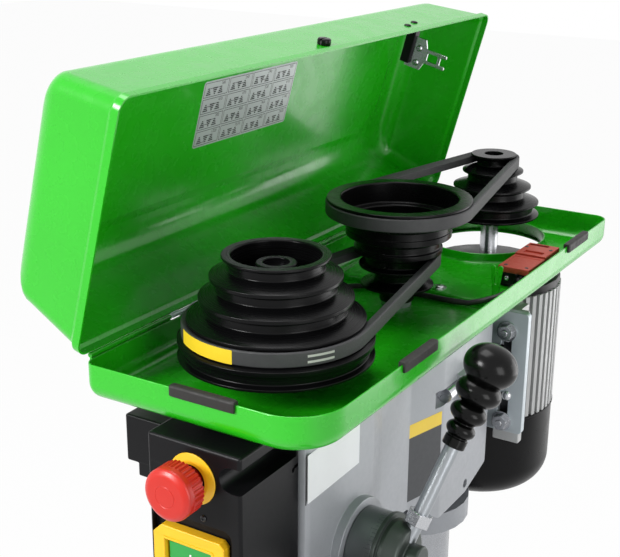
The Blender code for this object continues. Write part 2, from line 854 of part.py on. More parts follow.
def pulley_side(flanges, belts, top_groove, pitch):
    """A stepped V pulley's outer side from its top, in heights above the tray's rim."""
    slope = math.tan(BELT_ANGLE)
    half_top = BELT_WIDTH / 2 + BELT_SIDE_GAP
    side = []
    for index, belt in enumerate(belts):
        centre = top_groove - index * pitch
        root = belt - BELT_THICKNESS - BELT_FLOOR_GAP
        half_root = half_top - (BELT_THICKNESS + BELT_FLOOR_GAP) * slope
        upper, lower = flanges[index], flanges[index + 1]
        half_upper = half_top - (belt - upper) * slope
        half_lower = half_top - (belt - lower) * slope
        if index == 0:
            side.append((upper, centre + half_upper + FLANGE_EDGE))
        side.append((upper, centre + half_upper))
        side.append((root, centre + half_root))
        side.append((root, centre - half_root))
        side.append((lower, centre - half_lower))
    side.append((flanges[-1], side[-1][1] - FLANGE_EDGE))
    return side


def belt_path(first, first_radius, second, second_radius, steps=16):
    """The centre line of an open belt round two wheels on a line along Y."""
    spacing = second - first
    lean = math.asin((first_radius - second_radius) / spacing)
    quarter = math.pi / 2
    near = arc((0, first), first_radius, quarter + quarter - lean, 2 * math.pi + lean, steps)
    far = arc((0, second), second_radius, lean, math.pi - lean, steps)
    return near + far


def belt(name, first, first_radius, second, second_radius, height):
    """A V belt: its trapezium section carried round a closed path."""
    half = BELT_WIDTH / 2
    half_inner = half - BELT_THICKNESS * math.tan(BELT_ANGLE)
    section = bpy.data.curves.new(name + "_section", "CURVE")
    section.dimensions = "2D"
    spline = section.splines.new("POLY")
    corners = (
        (BELT_THICKNESS / 2, -half),
        (-BELT_THICKNESS / 2, -half_inner),
        (-BELT_THICKNESS / 2, half_inner),
        (BELT_THICKNESS / 2, half),
    )
    spline.points.add(len(corners) - 1)
    for point, (x, y) in zip(spline.points, corners):
        point.co = (x, y, 0, 1)
    spline.use_cyclic_u = True
    shape = bpy.data.objects.new(section.name, section)
    CUTTERS.objects.link(shape)
    shape.hide_render = True
    shape.display_type = "WIRE"
    middle = BELT_THICKNESS / 2
    path = belt_path(first, first_radius - middle, second, second_radius - middle)
    curve = bpy.data.curves.new(name + "_path", "CURVE")
    curve.dimensions = "3D"
    curve.twist_mode = "Z_UP"
    curve.bevel_mode = "OBJECT"
    curve.bevel_object = shape
    track = curve.splines.new("POLY")
    track.points.add(len(path) - 1)
    for point, (x, y) in zip(track.points, path):
        point.co = (x, y, height, 1)
    track.use_cyclic_u = True
    guide = bpy.data.objects.new(curve.name, curve)
    PARTS.objects.link(guide)
    return dress(as_mesh(guide, name), "belt_rubber")


def make_base():
    front = BASE_REAR - BASE_DEPTH
    half = BASE_WIDTH / 2
    foot = rounded_box(-half, half, front, BASE_REAR, (BASE_CORNER,) * 4)
    inner = BASE_CORNER - BASE_TAPER
    top = rounded_box(
        BASE_TAPER - half, half - BASE_TAPER, front + BASE_TAPER, BASE_REAR - BASE_TAPER, (inner,) * 4
    )
    shoulder = BASE_HEIGHT - BASE_TAPER
    base = loft("base_plate", ((foot, 0), (foot, shoulder), (top, BASE_HEIGHT)), close_first=True)

    roof = BASE_HEIGHT - BASE_TOP_WALL
    middle = (roof - OVERRUN) / 2
    reach = roof + OVERRUN
    pocket = rounded_box(
        BASE_WALL - half, half - BASE_WALL, front + BASE_WALL, -FLANGE_RADIUS, (POCKET_CORNER,) * 4
    )
    cut(base, plate("front_pocket", pocket, reach, facing("Z", (0, 0, middle))))
    for side in (-1, 1):
        near, far = sorted((side * BASE_WEB_HALF, side * (half - BASE_WALL)))
        hollow = rounded_box(
            near, far, BASE_WALL - FLANGE_RADIUS, BASE_REAR - ANCHOR_INSET * 2, (SIDE_POCKET_CORNER,) * 4
        )
        cut(base, plate(f"side_pocket_{side}", hollow, reach, facing("Z", (0, 0, middle))))
        slot = obround(
            (side * BASE_SLOT_SPACING / 2, (front - FLANGE_RADIUS) / 2),
            (BASE_SLOT_LENGTH - BASE_SLOT_WIDTH) / 2,
            BASE_SLOT_WIDTH / 2,
        )
        through = 2 * (BASE_HEIGHT + OVERRUN)
        cut(base, plate(f"base_slot_{side}", slot, through, facing("Z", (0, 0, 0))))
        for y in (front + ANCHOR_INSET, BASE_REAR - ANCHOR_INSET):
            x = side * (half - ANCHOR_INSET)
            cut(base, rod("anchor_hole", ANCHOR_RADIUS, (x, y, -OVERRUN), (x, y, through), SMALL_STEPS))
    return dress(base, "cast_iron")


def make_column():
    floor = BASE_HEIGHT + FIT
    bore = COLUMN_RADIUS + FIT
    socket_top = BASE_HEIGHT + SOCKET_HEIGHT
    flange_top = floor + FLANGE_THICKNESS
    profile = (
        (bore, socket_top),
        (SOCKET_TOP_RADIUS, socket_top),
        (SOCKET_RADIUS, flange_top),
        (FLANGE_RADIUS, flange_top),
        (FLANGE_RADIUS, floor),
        (bore, floor),
    )
    flange = turned("column_flange", profile, Matrix.Identity(4), ring=True)
    for number in range(FLANGE_BOLTS):
        angle = math.pi / 4 + number * 2 * math.pi / FLANGE_BOLTS
        x, y = FLANGE_BOLT_CIRCLE * math.cos(angle), FLANGE_BOLT_CIRCLE * math.sin(angle)
        top = flange_top + FLANGE_BOLT_HEIGHT
        join(flange, rod("flange_bolt", FLANGE_BOLT_RADIUS, (x, y, flange_top - OVERRUN), (x, y, top), 6))
    dress(flange, "cast_iron")

    column_top = RIM_HEIGHT - COLUMN_HEADROOM
    inner = COLUMN_RADIUS - COLUMN_WALL
    tube = (
        (inner, column_top),
        (COLUMN_RADIUS, column_top),
        (COLUMN_RADIUS, floor),
        (inner, floor),
    )
    dress(turned("column", tube, Matrix.Identity(4), ring=True), "column_steel")


def make_rack():
    low = BASE_HEIGHT + SOCKET_HEIGHT + FIT
    ring_top = RIM_HEIGHT - RING_DROP
    high = ring_top - RING_COVER
    edge = rack_edge(RACK_MODULE, low, high, BRACKET_Z)
    outline = [(z, -RACK_PITCH_LINE - out) for z, out in edge]
    outline += [(high, -RACK_BACK), (low, -RACK_BACK)]
    rack = plate("column_rack", outline, 2 * RACK_HALF_WIDTH, upright_strip())
    dress(rack, "bright_steel")

    bore = turning_bore(COLUMN_RADIUS)
    ring_low = ring_top - RING_HEIGHT
    profile = (
        (bore, ring_top),
        (RING_RADIUS, ring_top),
        (RING_RADIUS, ring_low),
        (bore, ring_low),
    )
    ring = turned("rack_ring", profile, Matrix.Identity(4), ring=True)
    half = RACK_HALF_WIDTH + FIT
    tip = RACK_PITCH_LINE + ADDENDUM_SHARE * RACK_MODULE + FIT
    socket = block("rack_socket", (-half, bore - OVERRUN, ring_low - OVERRUN), (half, tip, high + FIT))
    dress(cut(ring, socket), "cast_iron")
    return ring


def make_table():
    half = TABLE_SIZE / 2
    bottom = TABLE_HEIGHT - TABLE_SKIRT
    outline = rounded_box(-half, half, SPINDLE_Y - half, SPINDLE_Y + half, (TABLE_CORNER,) * 4)
    table = plate("table", outline, TABLE_SKIRT, facing("Z", (0, 0, (TABLE_HEIGHT + bottom) / 2)))

    inner = half - TABLE_WALL
    corner = TABLE_CORNER - TABLE_WALL
    hollow = rounded_box(-inner, inner, SPINDLE_Y - inner, SPINDLE_Y + inner, (corner,) * 4)
    roof = TABLE_HEIGHT - TABLE_TOP
    depth = roof - bottom + OVERRUN
    cut(table, plate("table_hollow", hollow, depth, facing("Z", (0, 0, roof - depth / 2))))

    face = -TILT_FACE - FIT
    disc_end = face - TILT_DISC_THICKNESS
    arm_low = TILT_Z - TABLE_ARM_HALF
    arm = block(
        "table_arm", (-TABLE_ARM_HALF, SPINDLE_Y, arm_low), (TABLE_ARM_HALF, disc_end + OVERRUN, roof + OVERRUN)
    )
    disc = rod("tilt_disc", TILT_DISC_RADIUS, (0, disc_end, TILT_Z), (0, face, TILT_Z))
    hub = rod("table_hub", TABLE_HUB_RADIUS, (0, SPINDLE_Y, arm_low), (0, SPINDLE_Y, roof + OVERRUN))
    join(table, arm, hub, disc)

    below = arm_low - OVERRUN
    above = TABLE_HEIGHT + OVERRUN
    cut(table, rod("table_hole", TABLE_HOLE_RADIUS, (0, SPINDLE_Y, below), (0, SPINDLE_Y, above)))
    run = (TABLE_SLOT_LENGTH - TABLE_SLOT_WIDTH) / 2
    for side in (-1, 1):
        slot = obround((side * TABLE_SLOT_SPACING / 2, SPINDLE_Y), run, TABLE_SLOT_WIDTH / 2)
        place = facing("Z", (0, 0, TABLE_HEIGHT))
        cut(table, plate(f"table_slot_{side}", slot, 2 * (TABLE_TOP + OVERRUN), place))
    pivot = turning_bore(TILT_PIVOT_RADIUS, SMALL_STEPS)
    pivot_end = face - TILT_PIVOT_LENGTH - FIT
    cut(table, rod("pivot_hole", pivot, (0, pivot_end, TILT_Z), (0, face + OVERRUN, TILT_Z), SMALL_STEPS))
    return dress(table, "ground_iron")


def make_bracket():
    low = BRACKET_Z - BRACKET_HEIGHT / 2
    high = BRACKET_Z + BRACKET_HEIGHT / 2
    bracket = rod("table_bracket", BRACKET_RADIUS, (0, 0, low), (0, 0, high))
    arm = block(
        "bracket_arm",
        (-BRACKET_ARM_HALF, -TILT_FACE + OVERRUN, low),
        (BRACKET_ARM_HALF, 0, TILT_Z + BRACKET_ARM_HALF),
    )
    disc = rod("bracket_disc", TILT_DISC_RADIUS, (0, -TILT_FACE, TILT_Z), (0, -BRACKET_ARM_HALF, TILT_Z))
    pivot = rod(
        "tilt_pivot",
        TILT_PIVOT_RADIUS,
        (0, -TILT_FACE - TILT_PIVOT_LENGTH, TILT_Z),
        (0, -TILT_FACE + OVERRUN, TILT_Z),
        SMALL_STEPS,
    )
    lug = block(
        "clamp_lug",
        (-LUG_REACH, -LUG_HALF_DEPTH, BRACKET_Z - LUG_HALF_HEIGHT),
        (0, LUG_HALF_DEPTH, BRACKET_Z + LUG_HALF_HEIGHT),
        BASE_TAPER / 4,
    )
    housing_end = BRACKET_RADIUS
    housing = rod(
        "pinion_housing",
        PINION_HOUSING_RADIUS,
        (-PINION_HOUSING_RADIUS, PINION_Y, BRACKET_Z),
        (housing_end, PINION_Y, BRACKET_Z),
    )
    join(bracket, arm, disc, pivot, lug, housing)

    bore = turning_bore(COLUMN_RADIUS)
    beyond = Vector((0, 0, OVERRUN))
    cut(bracket, rod("column_bore", bore, Vector((0, 0, low)) - beyond, Vector((0, 0, high)) + beyond))
    half = RACK_HALF_WIDTH + FIT
    tip = RACK_PITCH_LINE + ADDENDUM_SHARE * RACK_MODULE + FIT
    channel = block("rack_channel", (-half, 0, low - OVERRUN), (half, tip, high + OVERRUN))
    slit = block(
        "clamp_slit",
        (-LUG_REACH - OVERRUN, -LUG_SLIT / 2, low - OVERRUN),
        (0, LUG_SLIT / 2, high + OVERRUN),
    )
    gear_room = PINION_RADIUS + (ADDENDUM_SHARE + BACKLASH_SHARE) * RACK_MODULE
    pocket = rod(
        "pinion_pocket",
        gear_room,
        (-PINION_HALF_WIDTH - FIT, PINION_Y, BRACKET_Z),
        (housing_end + OVERRUN, PINION_Y, BRACKET_Z),
    )
    screw_hole = rod(
        "clamp_hole",
        CLAMP_SCREW_RADIUS + FIT,
        (-CLAMP_X, -LUG_HALF_DEPTH - OVERRUN, BRACKET_Z),
        (-CLAMP_X, LUG_HALF_DEPTH + OVERRUN, BRACKET_Z),
        SMALL_STEPS,
    )
    cut(bracket, channel, slit, pocket, screw_hole)
    return dress(bracket, "cast_iron")


def make_crank():
    bush_start = PINION_HALF_WIDTH + FIT
    arm_start = BRACKET_RADIUS + FIT
    arm_middle = arm_start + CRANK_ARM_THICKNESS / 2
    centre = Vector((0, PINION_Y, BRACKET_Z))
    place = facing("X", centre) @ Matrix.Rotation(math.pi, 4, "Z")
    crank = plate("table_crank", gear_outline(PINION_TEETH, RACK_MODULE), 2 * PINION_HALF_WIDTH, place)
    shaft = rod(
        "crank_shaft",
        CRANK_SHAFT_RADIUS,
        centre,
        centre + Vector((arm_middle, 0, 0)),
        SMALL_STEPS,
    )
    bush_radius = PINION_RADIUS + ADDENDUM_SHARE * RACK_MODULE
    bush = rod(
        "crank_bush",
        bush_radius,
        centre + Vector((bush_start + RACK_MODULE, 0, 0)),
        centre + Vector((arm_start + OVERRUN / 2, 0, 0)),
    )
    along_arm = Vector((math.cos(CRANK_ANGLE), math.sin(CRANK_ANGLE)))
    grip_centre = along_arm * CRANK_LENGTH
    outline = arc((0, 0), bush_radius, CRANK_ANGLE + math.pi / 2, CRANK_ANGLE + 3 * math.pi / 2, 8)
    outline += arc(grip_centre, CRANK_ARM_RADIUS, CRANK_ANGLE - math.pi / 2, CRANK_ANGLE + math.pi / 2, 8)
    arm = plate(
        "crank_arm", outline, CRANK_ARM_THICKNESS, facing("X", centre + Vector((arm_middle, 0, 0)))
    )
    grip_start = arm_start + CRANK_ARM_THICKNESS + FIT
    pin_axis = centre + Vector((0, grip_centre.x, grip_centre.y))
    pin_end = grip_start + CRANK_GRIP_LENGTH - CRANK_GRIP_RADIUS
    pin = rod(
        "crank_pin",
        CRANK_PIN_RADIUS,
        pin_axis + Vector((arm_middle, 0, 0)),
        pin_axis + Vector((pin_end, 0, 0)),
        SMALL_STEPS,
    )
    dress(join(crank, shaft, bush, arm, pin), "bright_steel")

    bore = CRANK_PIN_RADIUS + FIT
    waist = CRANK_GRIP_RADIUS * GRIP_NECK_SHARE
    end = CRANK_GRIP_LENGTH
    profile = [(0, end)]
    profile += [
        (x, end - CRANK_GRIP_RADIUS + z)
        for z, x in arc((0, 0), CRANK_GRIP_RADIUS, math.pi / 10, math.pi / 2, 5)
    ]
    profile += [(waist, CRANK_GRIP_RADIUS), (waist, 0), (bore, 0)]
    profile += [(bore, end - CRANK_GRIP_RADIUS + FIT), (0, end - CRANK_GRIP_RADIUS + FIT)]
    grip = turned(
        "crank_grip", profile, along((1, 0, 0), pin_axis + Vector((grip_start, 0, 0))), SMALL_STEPS
    )
    dress(grip, "gloss_black")
    return centre, pin_axis


def make_clamp_lever():
    axis = Vector((-CLAMP_X, 0, BRACKET_Z))
    front = -LUG_HALF_DEPTH - CLAMP_STANDOFF
    lever = rod(
        "table_clamp_lever",
        CLAMP_SCREW_RADIUS,
        axis + Vector((0, front, 0)),
        axis + Vector((0, LUG_HALF_DEPTH, 0)),
        SMALL_STEPS,
    )
    boss_radius = CLAMP_BALL_RADIUS
    boss = rod(
        "lever_boss",
        boss_radius,
        axis + Vector((0, front - boss_radius, 0)),
        axis + Vector((0, -LUG_HALF_DEPTH - FIT, 0)),
        SMALL_STEPS,
    )
    root = axis + Vector((0, front, 0))
    tip = root + Vector((-CLAMP_HANDLE_LENGTH, 0, 0))
    handle = rod("lever_handle", CLAMP_SCREW_RADIUS, root, tip, SMALL_STEPS)
    bm = bmesh.new()
    bmesh.ops.create_uvsphere(bm, u_segments=12, v_segments=8, radius=CLAMP_BALL_RADIUS)
    ball = mesh_object("lever_ball", bm)
    ball.data.transform(Matrix.Translation(tip))
    dress(join(lever, boss, handle, ball), "black_paint")
    return axis


def head_form():
    """The casting's outside: its side view and its plan view, taken together."""
    top = RIM_HEIGHT - TRAY_DEPTH - FIT
    front = SPINDLE_Y - HEAD_FRONT
    rear = HEAD_REAR
    edge = HEAD_EDGE_RADIUS
    waist_front = front + HEAD_FRONT_LENGTH
    side = (
        (front, top, 0),
        (front, RIM_HEIGHT - HEAD_BOTTOM, edge),
        (waist_front, RIM_HEIGHT - HEAD_BOTTOM, edge),
        (waist_front + HEAD_BOTTOM - WAIST_BOTTOM, RIM_HEIGHT - WAIST_BOTTOM, edge),
        (SPINDLE_Y + WAIST_REAR, RIM_HEIGHT - WAIST_BOTTOM, edge),
        (SPINDLE_Y + CLAMP_FRONT, RIM_HEIGHT - CLAMP_BOTTOM, edge),
        (0, RIM_HEIGHT - CLAMP_BOTTOM, edge),
        (rear - edge, RIM_HEIGHT - CLAMP_REAR_BOTTOM, edge),
        (rear, RIM_HEIGHT - REAR_ARM_BOTTOM, 0),
        (rear, top, 0),
    )
    width = 3 * CLAMP_HALF_WIDTH
    form = plate("head_casting", rounded_outline(side), width, facing("X", (0, 0, 0)))

    half = (
        (HEAD_HALF_WIDTH, front, edge),
        (HEAD_HALF_WIDTH, waist_front, edge * 2),
        (WAIST_HALF_WIDTH, waist_front + HEAD_HALF_WIDTH / 2, edge * 2),
        (WAIST_HALF_WIDTH, SPINDLE_Y + WAIST_REAR, edge * 2),
        (CLAMP_HALF_WIDTH, SPINDLE_Y + CLAMP_FRONT, edge * 2),
        (CLAMP_HALF_WIDTH, rear - edge, edge / 2),
        (CLAMP_HALF_WIDTH - edge, rear, edge / 2),
    )
    plan = list(half) + [(-x, y, radius) for x, y, radius in reversed(half)]
    tall = 2 * BARREL_BOTTOM
    mould = plate("head_plan", rounded_outline(plan), tall, facing("Z", (0, 0, top - tall / 2 + OVERRUN)))
    return combine(form, mould, "INTERSECT")


def make_head():
    head = head_form()
    top = RIM_HEIGHT - TRAY_DEPTH - FIT
    barrel = rod(
        "quill_barrel", BARREL_RADIUS, spindle_point(0, 0, BARREL_BOTTOM), spindle_point(0, 0, WAIST_BOTTOM)
    )
    boss = rod(
        "feed_boss",
        FEED_BOSS_RADIUS,
        spindle_point(WAIST_HALF_WIDTH, FEED_BEHIND, FEED_DROP),
        spindle_point(FEED_BOSS_FACE, FEED_BEHIND, FEED_DROP),
    )
    spring_boss = rod(
        "spring_boss",
        SPRING_CUP_RADIUS,
        spindle_point(-FEED_BOSS_FACE, FEED_BEHIND, FEED_DROP),
        spindle_point(-WAIST_HALF_WIDTH, FEED_BEHIND, FEED_DROP),
    )
    join(head, barrel, boss, spring_boss)
    post_foot = top - OVERRUN
    shoulder = rod(
        "idler_shoulder",
        IDLER_SHOULDER_RADIUS,
        (0, IDLER_Y, post_foot),
        (0, IDLER_Y, RIM_HEIGHT - IDLER_HUB_BOTTOM - FIT),
        SMALL_STEPS,
    )
    post = rod(
        "idler_post",
        IDLER_POST_RADIUS,
        (0, IDLER_Y, post_foot),
        (0, IDLER_Y, RIM_HEIGHT + IDLER_POST_TOP),
        SMALL_STEPS,
    )
    join(head, shoulder, post)
    for side in (-1, 1):
        bar_boss = rod(
            f"bar_boss_{side}",
            BAR_BOSS_RADIUS,
            spindle_point(side * BAR_X, BAR_BOSS_FRONT, BAR_DROP),
            spindle_point(side * BAR_X, THROAT + HEAD_REAR + OVERRUN / 2, BAR_DROP),
        )
        join(head, bar_boss)

    bore = QUILL_RADIUS + FIT
    quill_bore = rod(
        "quill_bore",
        bore,
        spindle_point(0, 0, BARREL_BOTTOM + OVERRUN),
        spindle_point(0, 0, QUILL_TOP - OVERRUN),
    )
    sleeve_bore = rod(
        "sleeve_bore", SLEEVE_RADIUS + FIT, spindle_point(0, 0, QUILL_TOP), spindle_point(0, 0, 0)
    )
    room = FEED_TEETH * QUILL_RACK_MODULE / 2 + (ADDENDUM_SHARE + BACKLASH_SHARE * 2) * QUILL_RACK_MODULE
    feed_bore = rod(
        "feed_bore",
        room,
        spindle_point(-FEED_PINION_HALF_WIDTH - FIT, FEED_BEHIND, FEED_DROP),
        spindle_point(FEED_BOSS_FACE + OVERRUN, FEED_BEHIND, FEED_DROP),
    )
    shaft_bore = rod(
        "shaft_bore",
        FEED_SHAFT_RADIUS + FIT,
        spindle_point(-FEED_BOSS_FACE - OVERRUN, FEED_BEHIND, FEED_DROP),
        spindle_point(0, FEED_BEHIND, FEED_DROP),
    )
    column_bore = rod(
        "head_column_bore",
        COLUMN_RADIUS + FIT,
        (0, 0, RIM_HEIGHT - CLAMP_BOTTOM - OVERRUN),
        (0, 0, RIM_HEIGHT - COLUMN_HEADROOM + FIT),
    )
    screw_hole = rod(
        "head_screw_hole",
        LOCK_SCREW_HOLE_RADIUS,
        (CLAMP_HALF_WIDTH - LOCK_SCREW_HOLE_DEPTH, 0, RIM_HEIGHT - LOCK_SCREW_DROP),
        (CLAMP_HALF_WIDTH + OVERRUN, 0, RIM_HEIGHT - LOCK_SCREW_DROP),
        SMALL_STEPS,
    )
    cut(head, quill_bore, sleeve_bore, feed_bore, shaft_bore, column_bore, screw_hole)
    for side in (-1, 1):
        bar_bore = rod(
            f"bar_bore_{side}",
            BAR_RADIUS + FIT,
            spindle_point(side * BAR_X, BAR_FRONT - SLIDE_TRAVEL - OVERRUN, BAR_DROP),
            spindle_point(side * BAR_X, THROAT + HEAD_REAR + 2 * OVERRUN, BAR_DROP),
            SMALL_STEPS,
        )
        cut(head, bar_bore)
    knob_bore = rod(
        "knob_bore",
        BAR_KNOB_STEM_RADIUS + FIT,
        spindle_point(BAR_X, BAR_KNOB_Y, BAR_DROP),
        spindle_point(BAR_X + BAR_BOSS_RADIUS + OVERRUN, BAR_KNOB_Y, BAR_DROP),
        SMALL_STEPS,
    )
    cut(head, knob_bore)
    return dress(head, "head_paint")


def tray_outline(inset=0.0):
    half = TRAY_WIDTH / 2 - inset
    front = TRAY_FRONT - inset
    back = TRAY_BACK - inset
    corners = (TRAY_REAR_CORNER, TRAY_REAR_CORNER, TRAY_FRONT_CORNER, TRAY_FRONT_CORNER)
    radii = [max(radius - inset, TRAY_BEAD) for radius in corners]
    return rounded_box(-half, half, SPINDLE_Y - front, SPINDLE_Y + back, radii, 4)


def make_tray():
    floor = RIM_HEIGHT - TRAY_DEPTH
    rings = [(tray_outline(), RIM_HEIGHT)]
    for out, down in arc((TRAY_FLOOR_RADIUS, TRAY_FLOOR_RADIUS), TRAY_FLOOR_RADIUS, math.pi, 1.5 * math.pi, 3):
        rings.append((tray_outline(out), floor + down))
    tray = thicken(loft("pulley_tray", rings), SHEET)
    reach = TRAY_DEPTH / 2

    def hole(name, radius, x, y):
        low = spindle_point(x, y, TRAY_DEPTH + reach)
        high = spindle_point(x, y, TRAY_DEPTH - reach)
        cut(tray, rod(name, radius, low, high, SMALL_STEPS))

    hole("sleeve_hole", SLEEVE_RADIUS + TRAY_HOLE_CLEARANCE, 0, 0)
    hole("post_hole", IDLER_SHOULDER_RADIUS + FIT, 0, IDLER_SPACING)
    hole("cable_hole", CABLE_HOLE_RADIUS, CABLE_HOLE_X, CABLE_HOLE_Y)
    centre = spindle_point(0, THROAT + MOTOR_Y - MOTOR_OPENING_STRETCH / 2, TRAY_DEPTH)
    opening = obround((0, 0), MOTOR_OPENING_STRETCH / 2, MOTOR_OPENING_RADIUS + SHEET, steps=10)
    cut(tray, plate("motor_opening", opening, 2 * reach, facing("Z", centre)))
    return dress(tray, "green_paint")


def make_riser():
    """The raised plate round the motor opening: a shallow upturned pan with a lip round its hole."""
    foot = RIM_HEIGHT - TRAY_DEPTH + SHEET + FIT
    top = foot + RISER_HEIGHT

    def outline(inset):
        half = RISER_HALF_WIDTH - inset
        front = SPINDLE_Y + RISER_FRONT + inset
        back = SPINDLE_Y + RISER_BACK - inset
        return rounded_box(-half, half, front, back, (RISER_CORNER,) * 4)

    fold = SHEET * 2
    rings = ((outline(0), foot), (outline(0), top - fold), (outline(fold), top))
    riser = thicken(loft("motor_opening_plate", rings), SHEET)
    centre = spindle_point(0, THROAT + MOTOR_Y - MOTOR_OPENING_STRETCH / 2, 0)
    run = MOTOR_OPENING_STRETCH / 2
    lip_outer = obround((0, 0), run, MOTOR_OPENING_RADIUS, steps=10)
    lip_inner = obround((0, 0), run, MOTOR_OPENING_RADIUS - SHEET, steps=10)
    lip_low = top - SHEET / 2
    lip_middle = lip_low + RISER_LIP / 2
    lip = plate("riser_lip", lip_outer, RISER_LIP, facing("Z", (0, centre.y, lip_middle)))
    join(riser, lip)
    cut(riser, plate("riser_hole", lip_inner, 4 * RISER_LIP, facing("Z", (0, centre.y, lip_middle))))
    dress(riser, "green_paint")

    left, right = FORK_X - FORK_WIDTH / 2, FORK_X + FORK_WIDTH / 2
    low, high = top + FIT, top + FIT + FORK_HEIGHT
    slot = FORK_SLOT / 2
    prong_top = (FORK_WIDTH / 2 - slot) / 2
    spread = FORK_SLOT
    outline = rounded_outline(
        (
            (right - spread, low, 0),
            (right, high, prong_top),
            (FORK_X + slot, high, prong_top / 2),
            (FORK_X + slot, high - FORK_SLOT_DEPTH, slot / 2),
            (FORK_X - slot, high - FORK_SLOT_DEPTH, slot / 2),
            (FORK_X - slot, high, prong_top / 2),
            (left, high, prong_top),
            (left + spread, low, 0),
        ),
        3,
    )
    fork = plate("cable_fork", outline, SHEET, facing("Y", (0, SPINDLE_Y + FORK_Y, 0)))
    dress(fork, "green_paint")
    return top


def make_bumpers():
    wall = SHEET
    low = RIM_HEIGHT - BUMPER_SKIRT
    high = RIM_HEIGHT + BUMPER_WALL
    half = BUMPER_LENGTH / 2
    thick = BUMPER_WALL

    def channel(name, place):
        """A strip folded over the tray's rim, with its inner side towards local +Y."""
        body = block(name, (-half, -thick, low), (half, wall + thick, high))
        groove = block(
            name + "_groove",
            (-half - OVERRUN, -FIT, low - OVERRUN),
            (half + OVERRUN, wall + FIT, RIM_HEIGHT + FIT),
        )
        return dress(settled(cut(body, groove), place), "bumper_rubber")

    front = Matrix.Translation((BUMPER_FRONT_X, SPINDLE_Y - TRAY_FRONT, 0))
    channel("bumper_front", front)
    for name, y in zip(("bumper_right_front", "bumper_right_rear"), BUMPER_SIDE_PLACES):
        side = Matrix.Translation((TRAY_WIDTH / 2, SPINDLE_Y + y, 0)) @ Matrix.Rotation(math.pi / 2, 4, "Z")
        channel(name, side)


def make_spindle_pulley():
    side = pulley_side(SPINDLE_FLANGES, SPINDLE_BELTS, SPINDLE_TOP_GROOVE, SPINDLE_PITCH)
    top = side[0][1]
    bottom = side[-1][1]
    bore = SPINDLE_RADIUS + FIT
    profile = list(side)
    profile += [
        (SLEEVE_RADIUS, bottom),
        (SLEEVE_RADIUS, -SLEEVE_BOTTOM),
        (bore, -SLEEVE_BOTTOM),
        (bore, SPINDLE_HUB_TOP),
        (SPINDLE_HUB_RADIUS, SPINDLE_HUB_TOP),
        (SPINDLE_HUB_RADIUS, SPINDLE_CUP_FLOOR),
        (SPINDLE_CUP_RADIUS - SHEET, SPINDLE_CUP_FLOOR),
        (SPINDLE_CUP_RADIUS, top),
    ]
    pulley = turned("spindle_pulley", profile, along((0, 0, 1), spindle_point(0, 0, 0)), ring=True)
    return dress(pulley, "black_pulley")


def idler_pitch():
    """The spacing of the idler's grooves, which brings its belt level with the spindle's."""
    level = SPINDLE_TOP_GROOVE - LOWER_BELT_GROOVE * SPINDLE_PITCH
    return (IDLER_TOP_GROOVE - level) / LOWER_BELT_GROOVE


def make_idler_pulley():
    side = pulley_side(IDLER_FLANGES, IDLER_BELTS, IDLER_TOP_GROOVE, idler_pitch())
    top = side[0][1]
    bottom = side[-1][1]
    bore = IDLER_POST_RADIUS + FIT
    first, second, floor = IDLER_CUP_STEPS
    profile = list(side)
    profile += [
        (IDLER_HUB_RADIUS, bottom),
        (IDLER_HUB_RADIUS, -IDLER_HUB_BOTTOM),
        (bore, -IDLER_HUB_BOTTOM),
        (bore, IDLER_HUB_TOP),
        (IDLER_HUB_RADIUS, IDLER_HUB_TOP),
        (IDLER_HUB_RADIUS, floor),
        (IDLER_CUP_LOW_RADIUS - BELT_THICKNESS, floor),
        (IDLER_CUP_LOW_RADIUS, second),
        (IDLER_CUP_STEP_RADIUS, second),
        (IDLER_CUP_STEP_RADIUS, first),
        (IDLER_CUP_RADIUS - SHEET, first),
        (IDLER_CUP_RADIUS, top),
    ]
    place = along((0, 0, 1), (0, IDLER_Y, RIM_HEIGHT))
    return dress(turned("idler_pulley", profile, place, ring=True), "black_pulley")


def make_motor_pulley():
    side = pulley_side(MOTOR_FLANGES, MOTOR_BELTS, IDLER_TOP_GROOVE, MOTOR_PITCH)
    bottom = side[-1][1]
    bore = MOTOR_SHAFT_RADIUS + FIT
    profile = list(side)
    profile += [
        (MOTOR_HUB_RADIUS, bottom),
        (MOTOR_HUB_RADIUS, MOTOR_HUB_BOTTOM),
        (bore, MOTOR_HUB_BOTTOM),
        (bore, side[0][1]),
    ]
    place = along((0, 0, 1), (0, MOTOR_Y, RIM_HEIGHT))
    return dress(turned("motor_pulley", profile, place, ring=True), "black_pulley")


def make_belts():
    lower = RIM_HEIGHT + SPINDLE_TOP_GROOVE - LOWER_BELT_GROOVE * SPINDLE_PITCH
    belt(
        "lower_belt",
        SPINDLE_Y,
        SPINDLE_BELTS[LOWER_BELT_GROOVE],
        IDLER_Y,
        IDLER_BELTS[LOWER_BELT_GROOVE],
        lower,
    )
    belt(
        "upper_belt",
        IDLER_Y,
        IDLER_BELTS[UPPER_BELT_GROOVE],
        MOTOR_Y,
        MOTOR_BELTS[UPPER_BELT_GROOVE],
        RIM_HEIGHT + IDLER_TOP_GROOVE,
    )


def motor_point(x, y, drop):
    """A point on the motor: x and y from its shaft, drop below the tray's rim."""
    return Vector((x, MOTOR_Y + y, RIM_HEIGHT - drop))


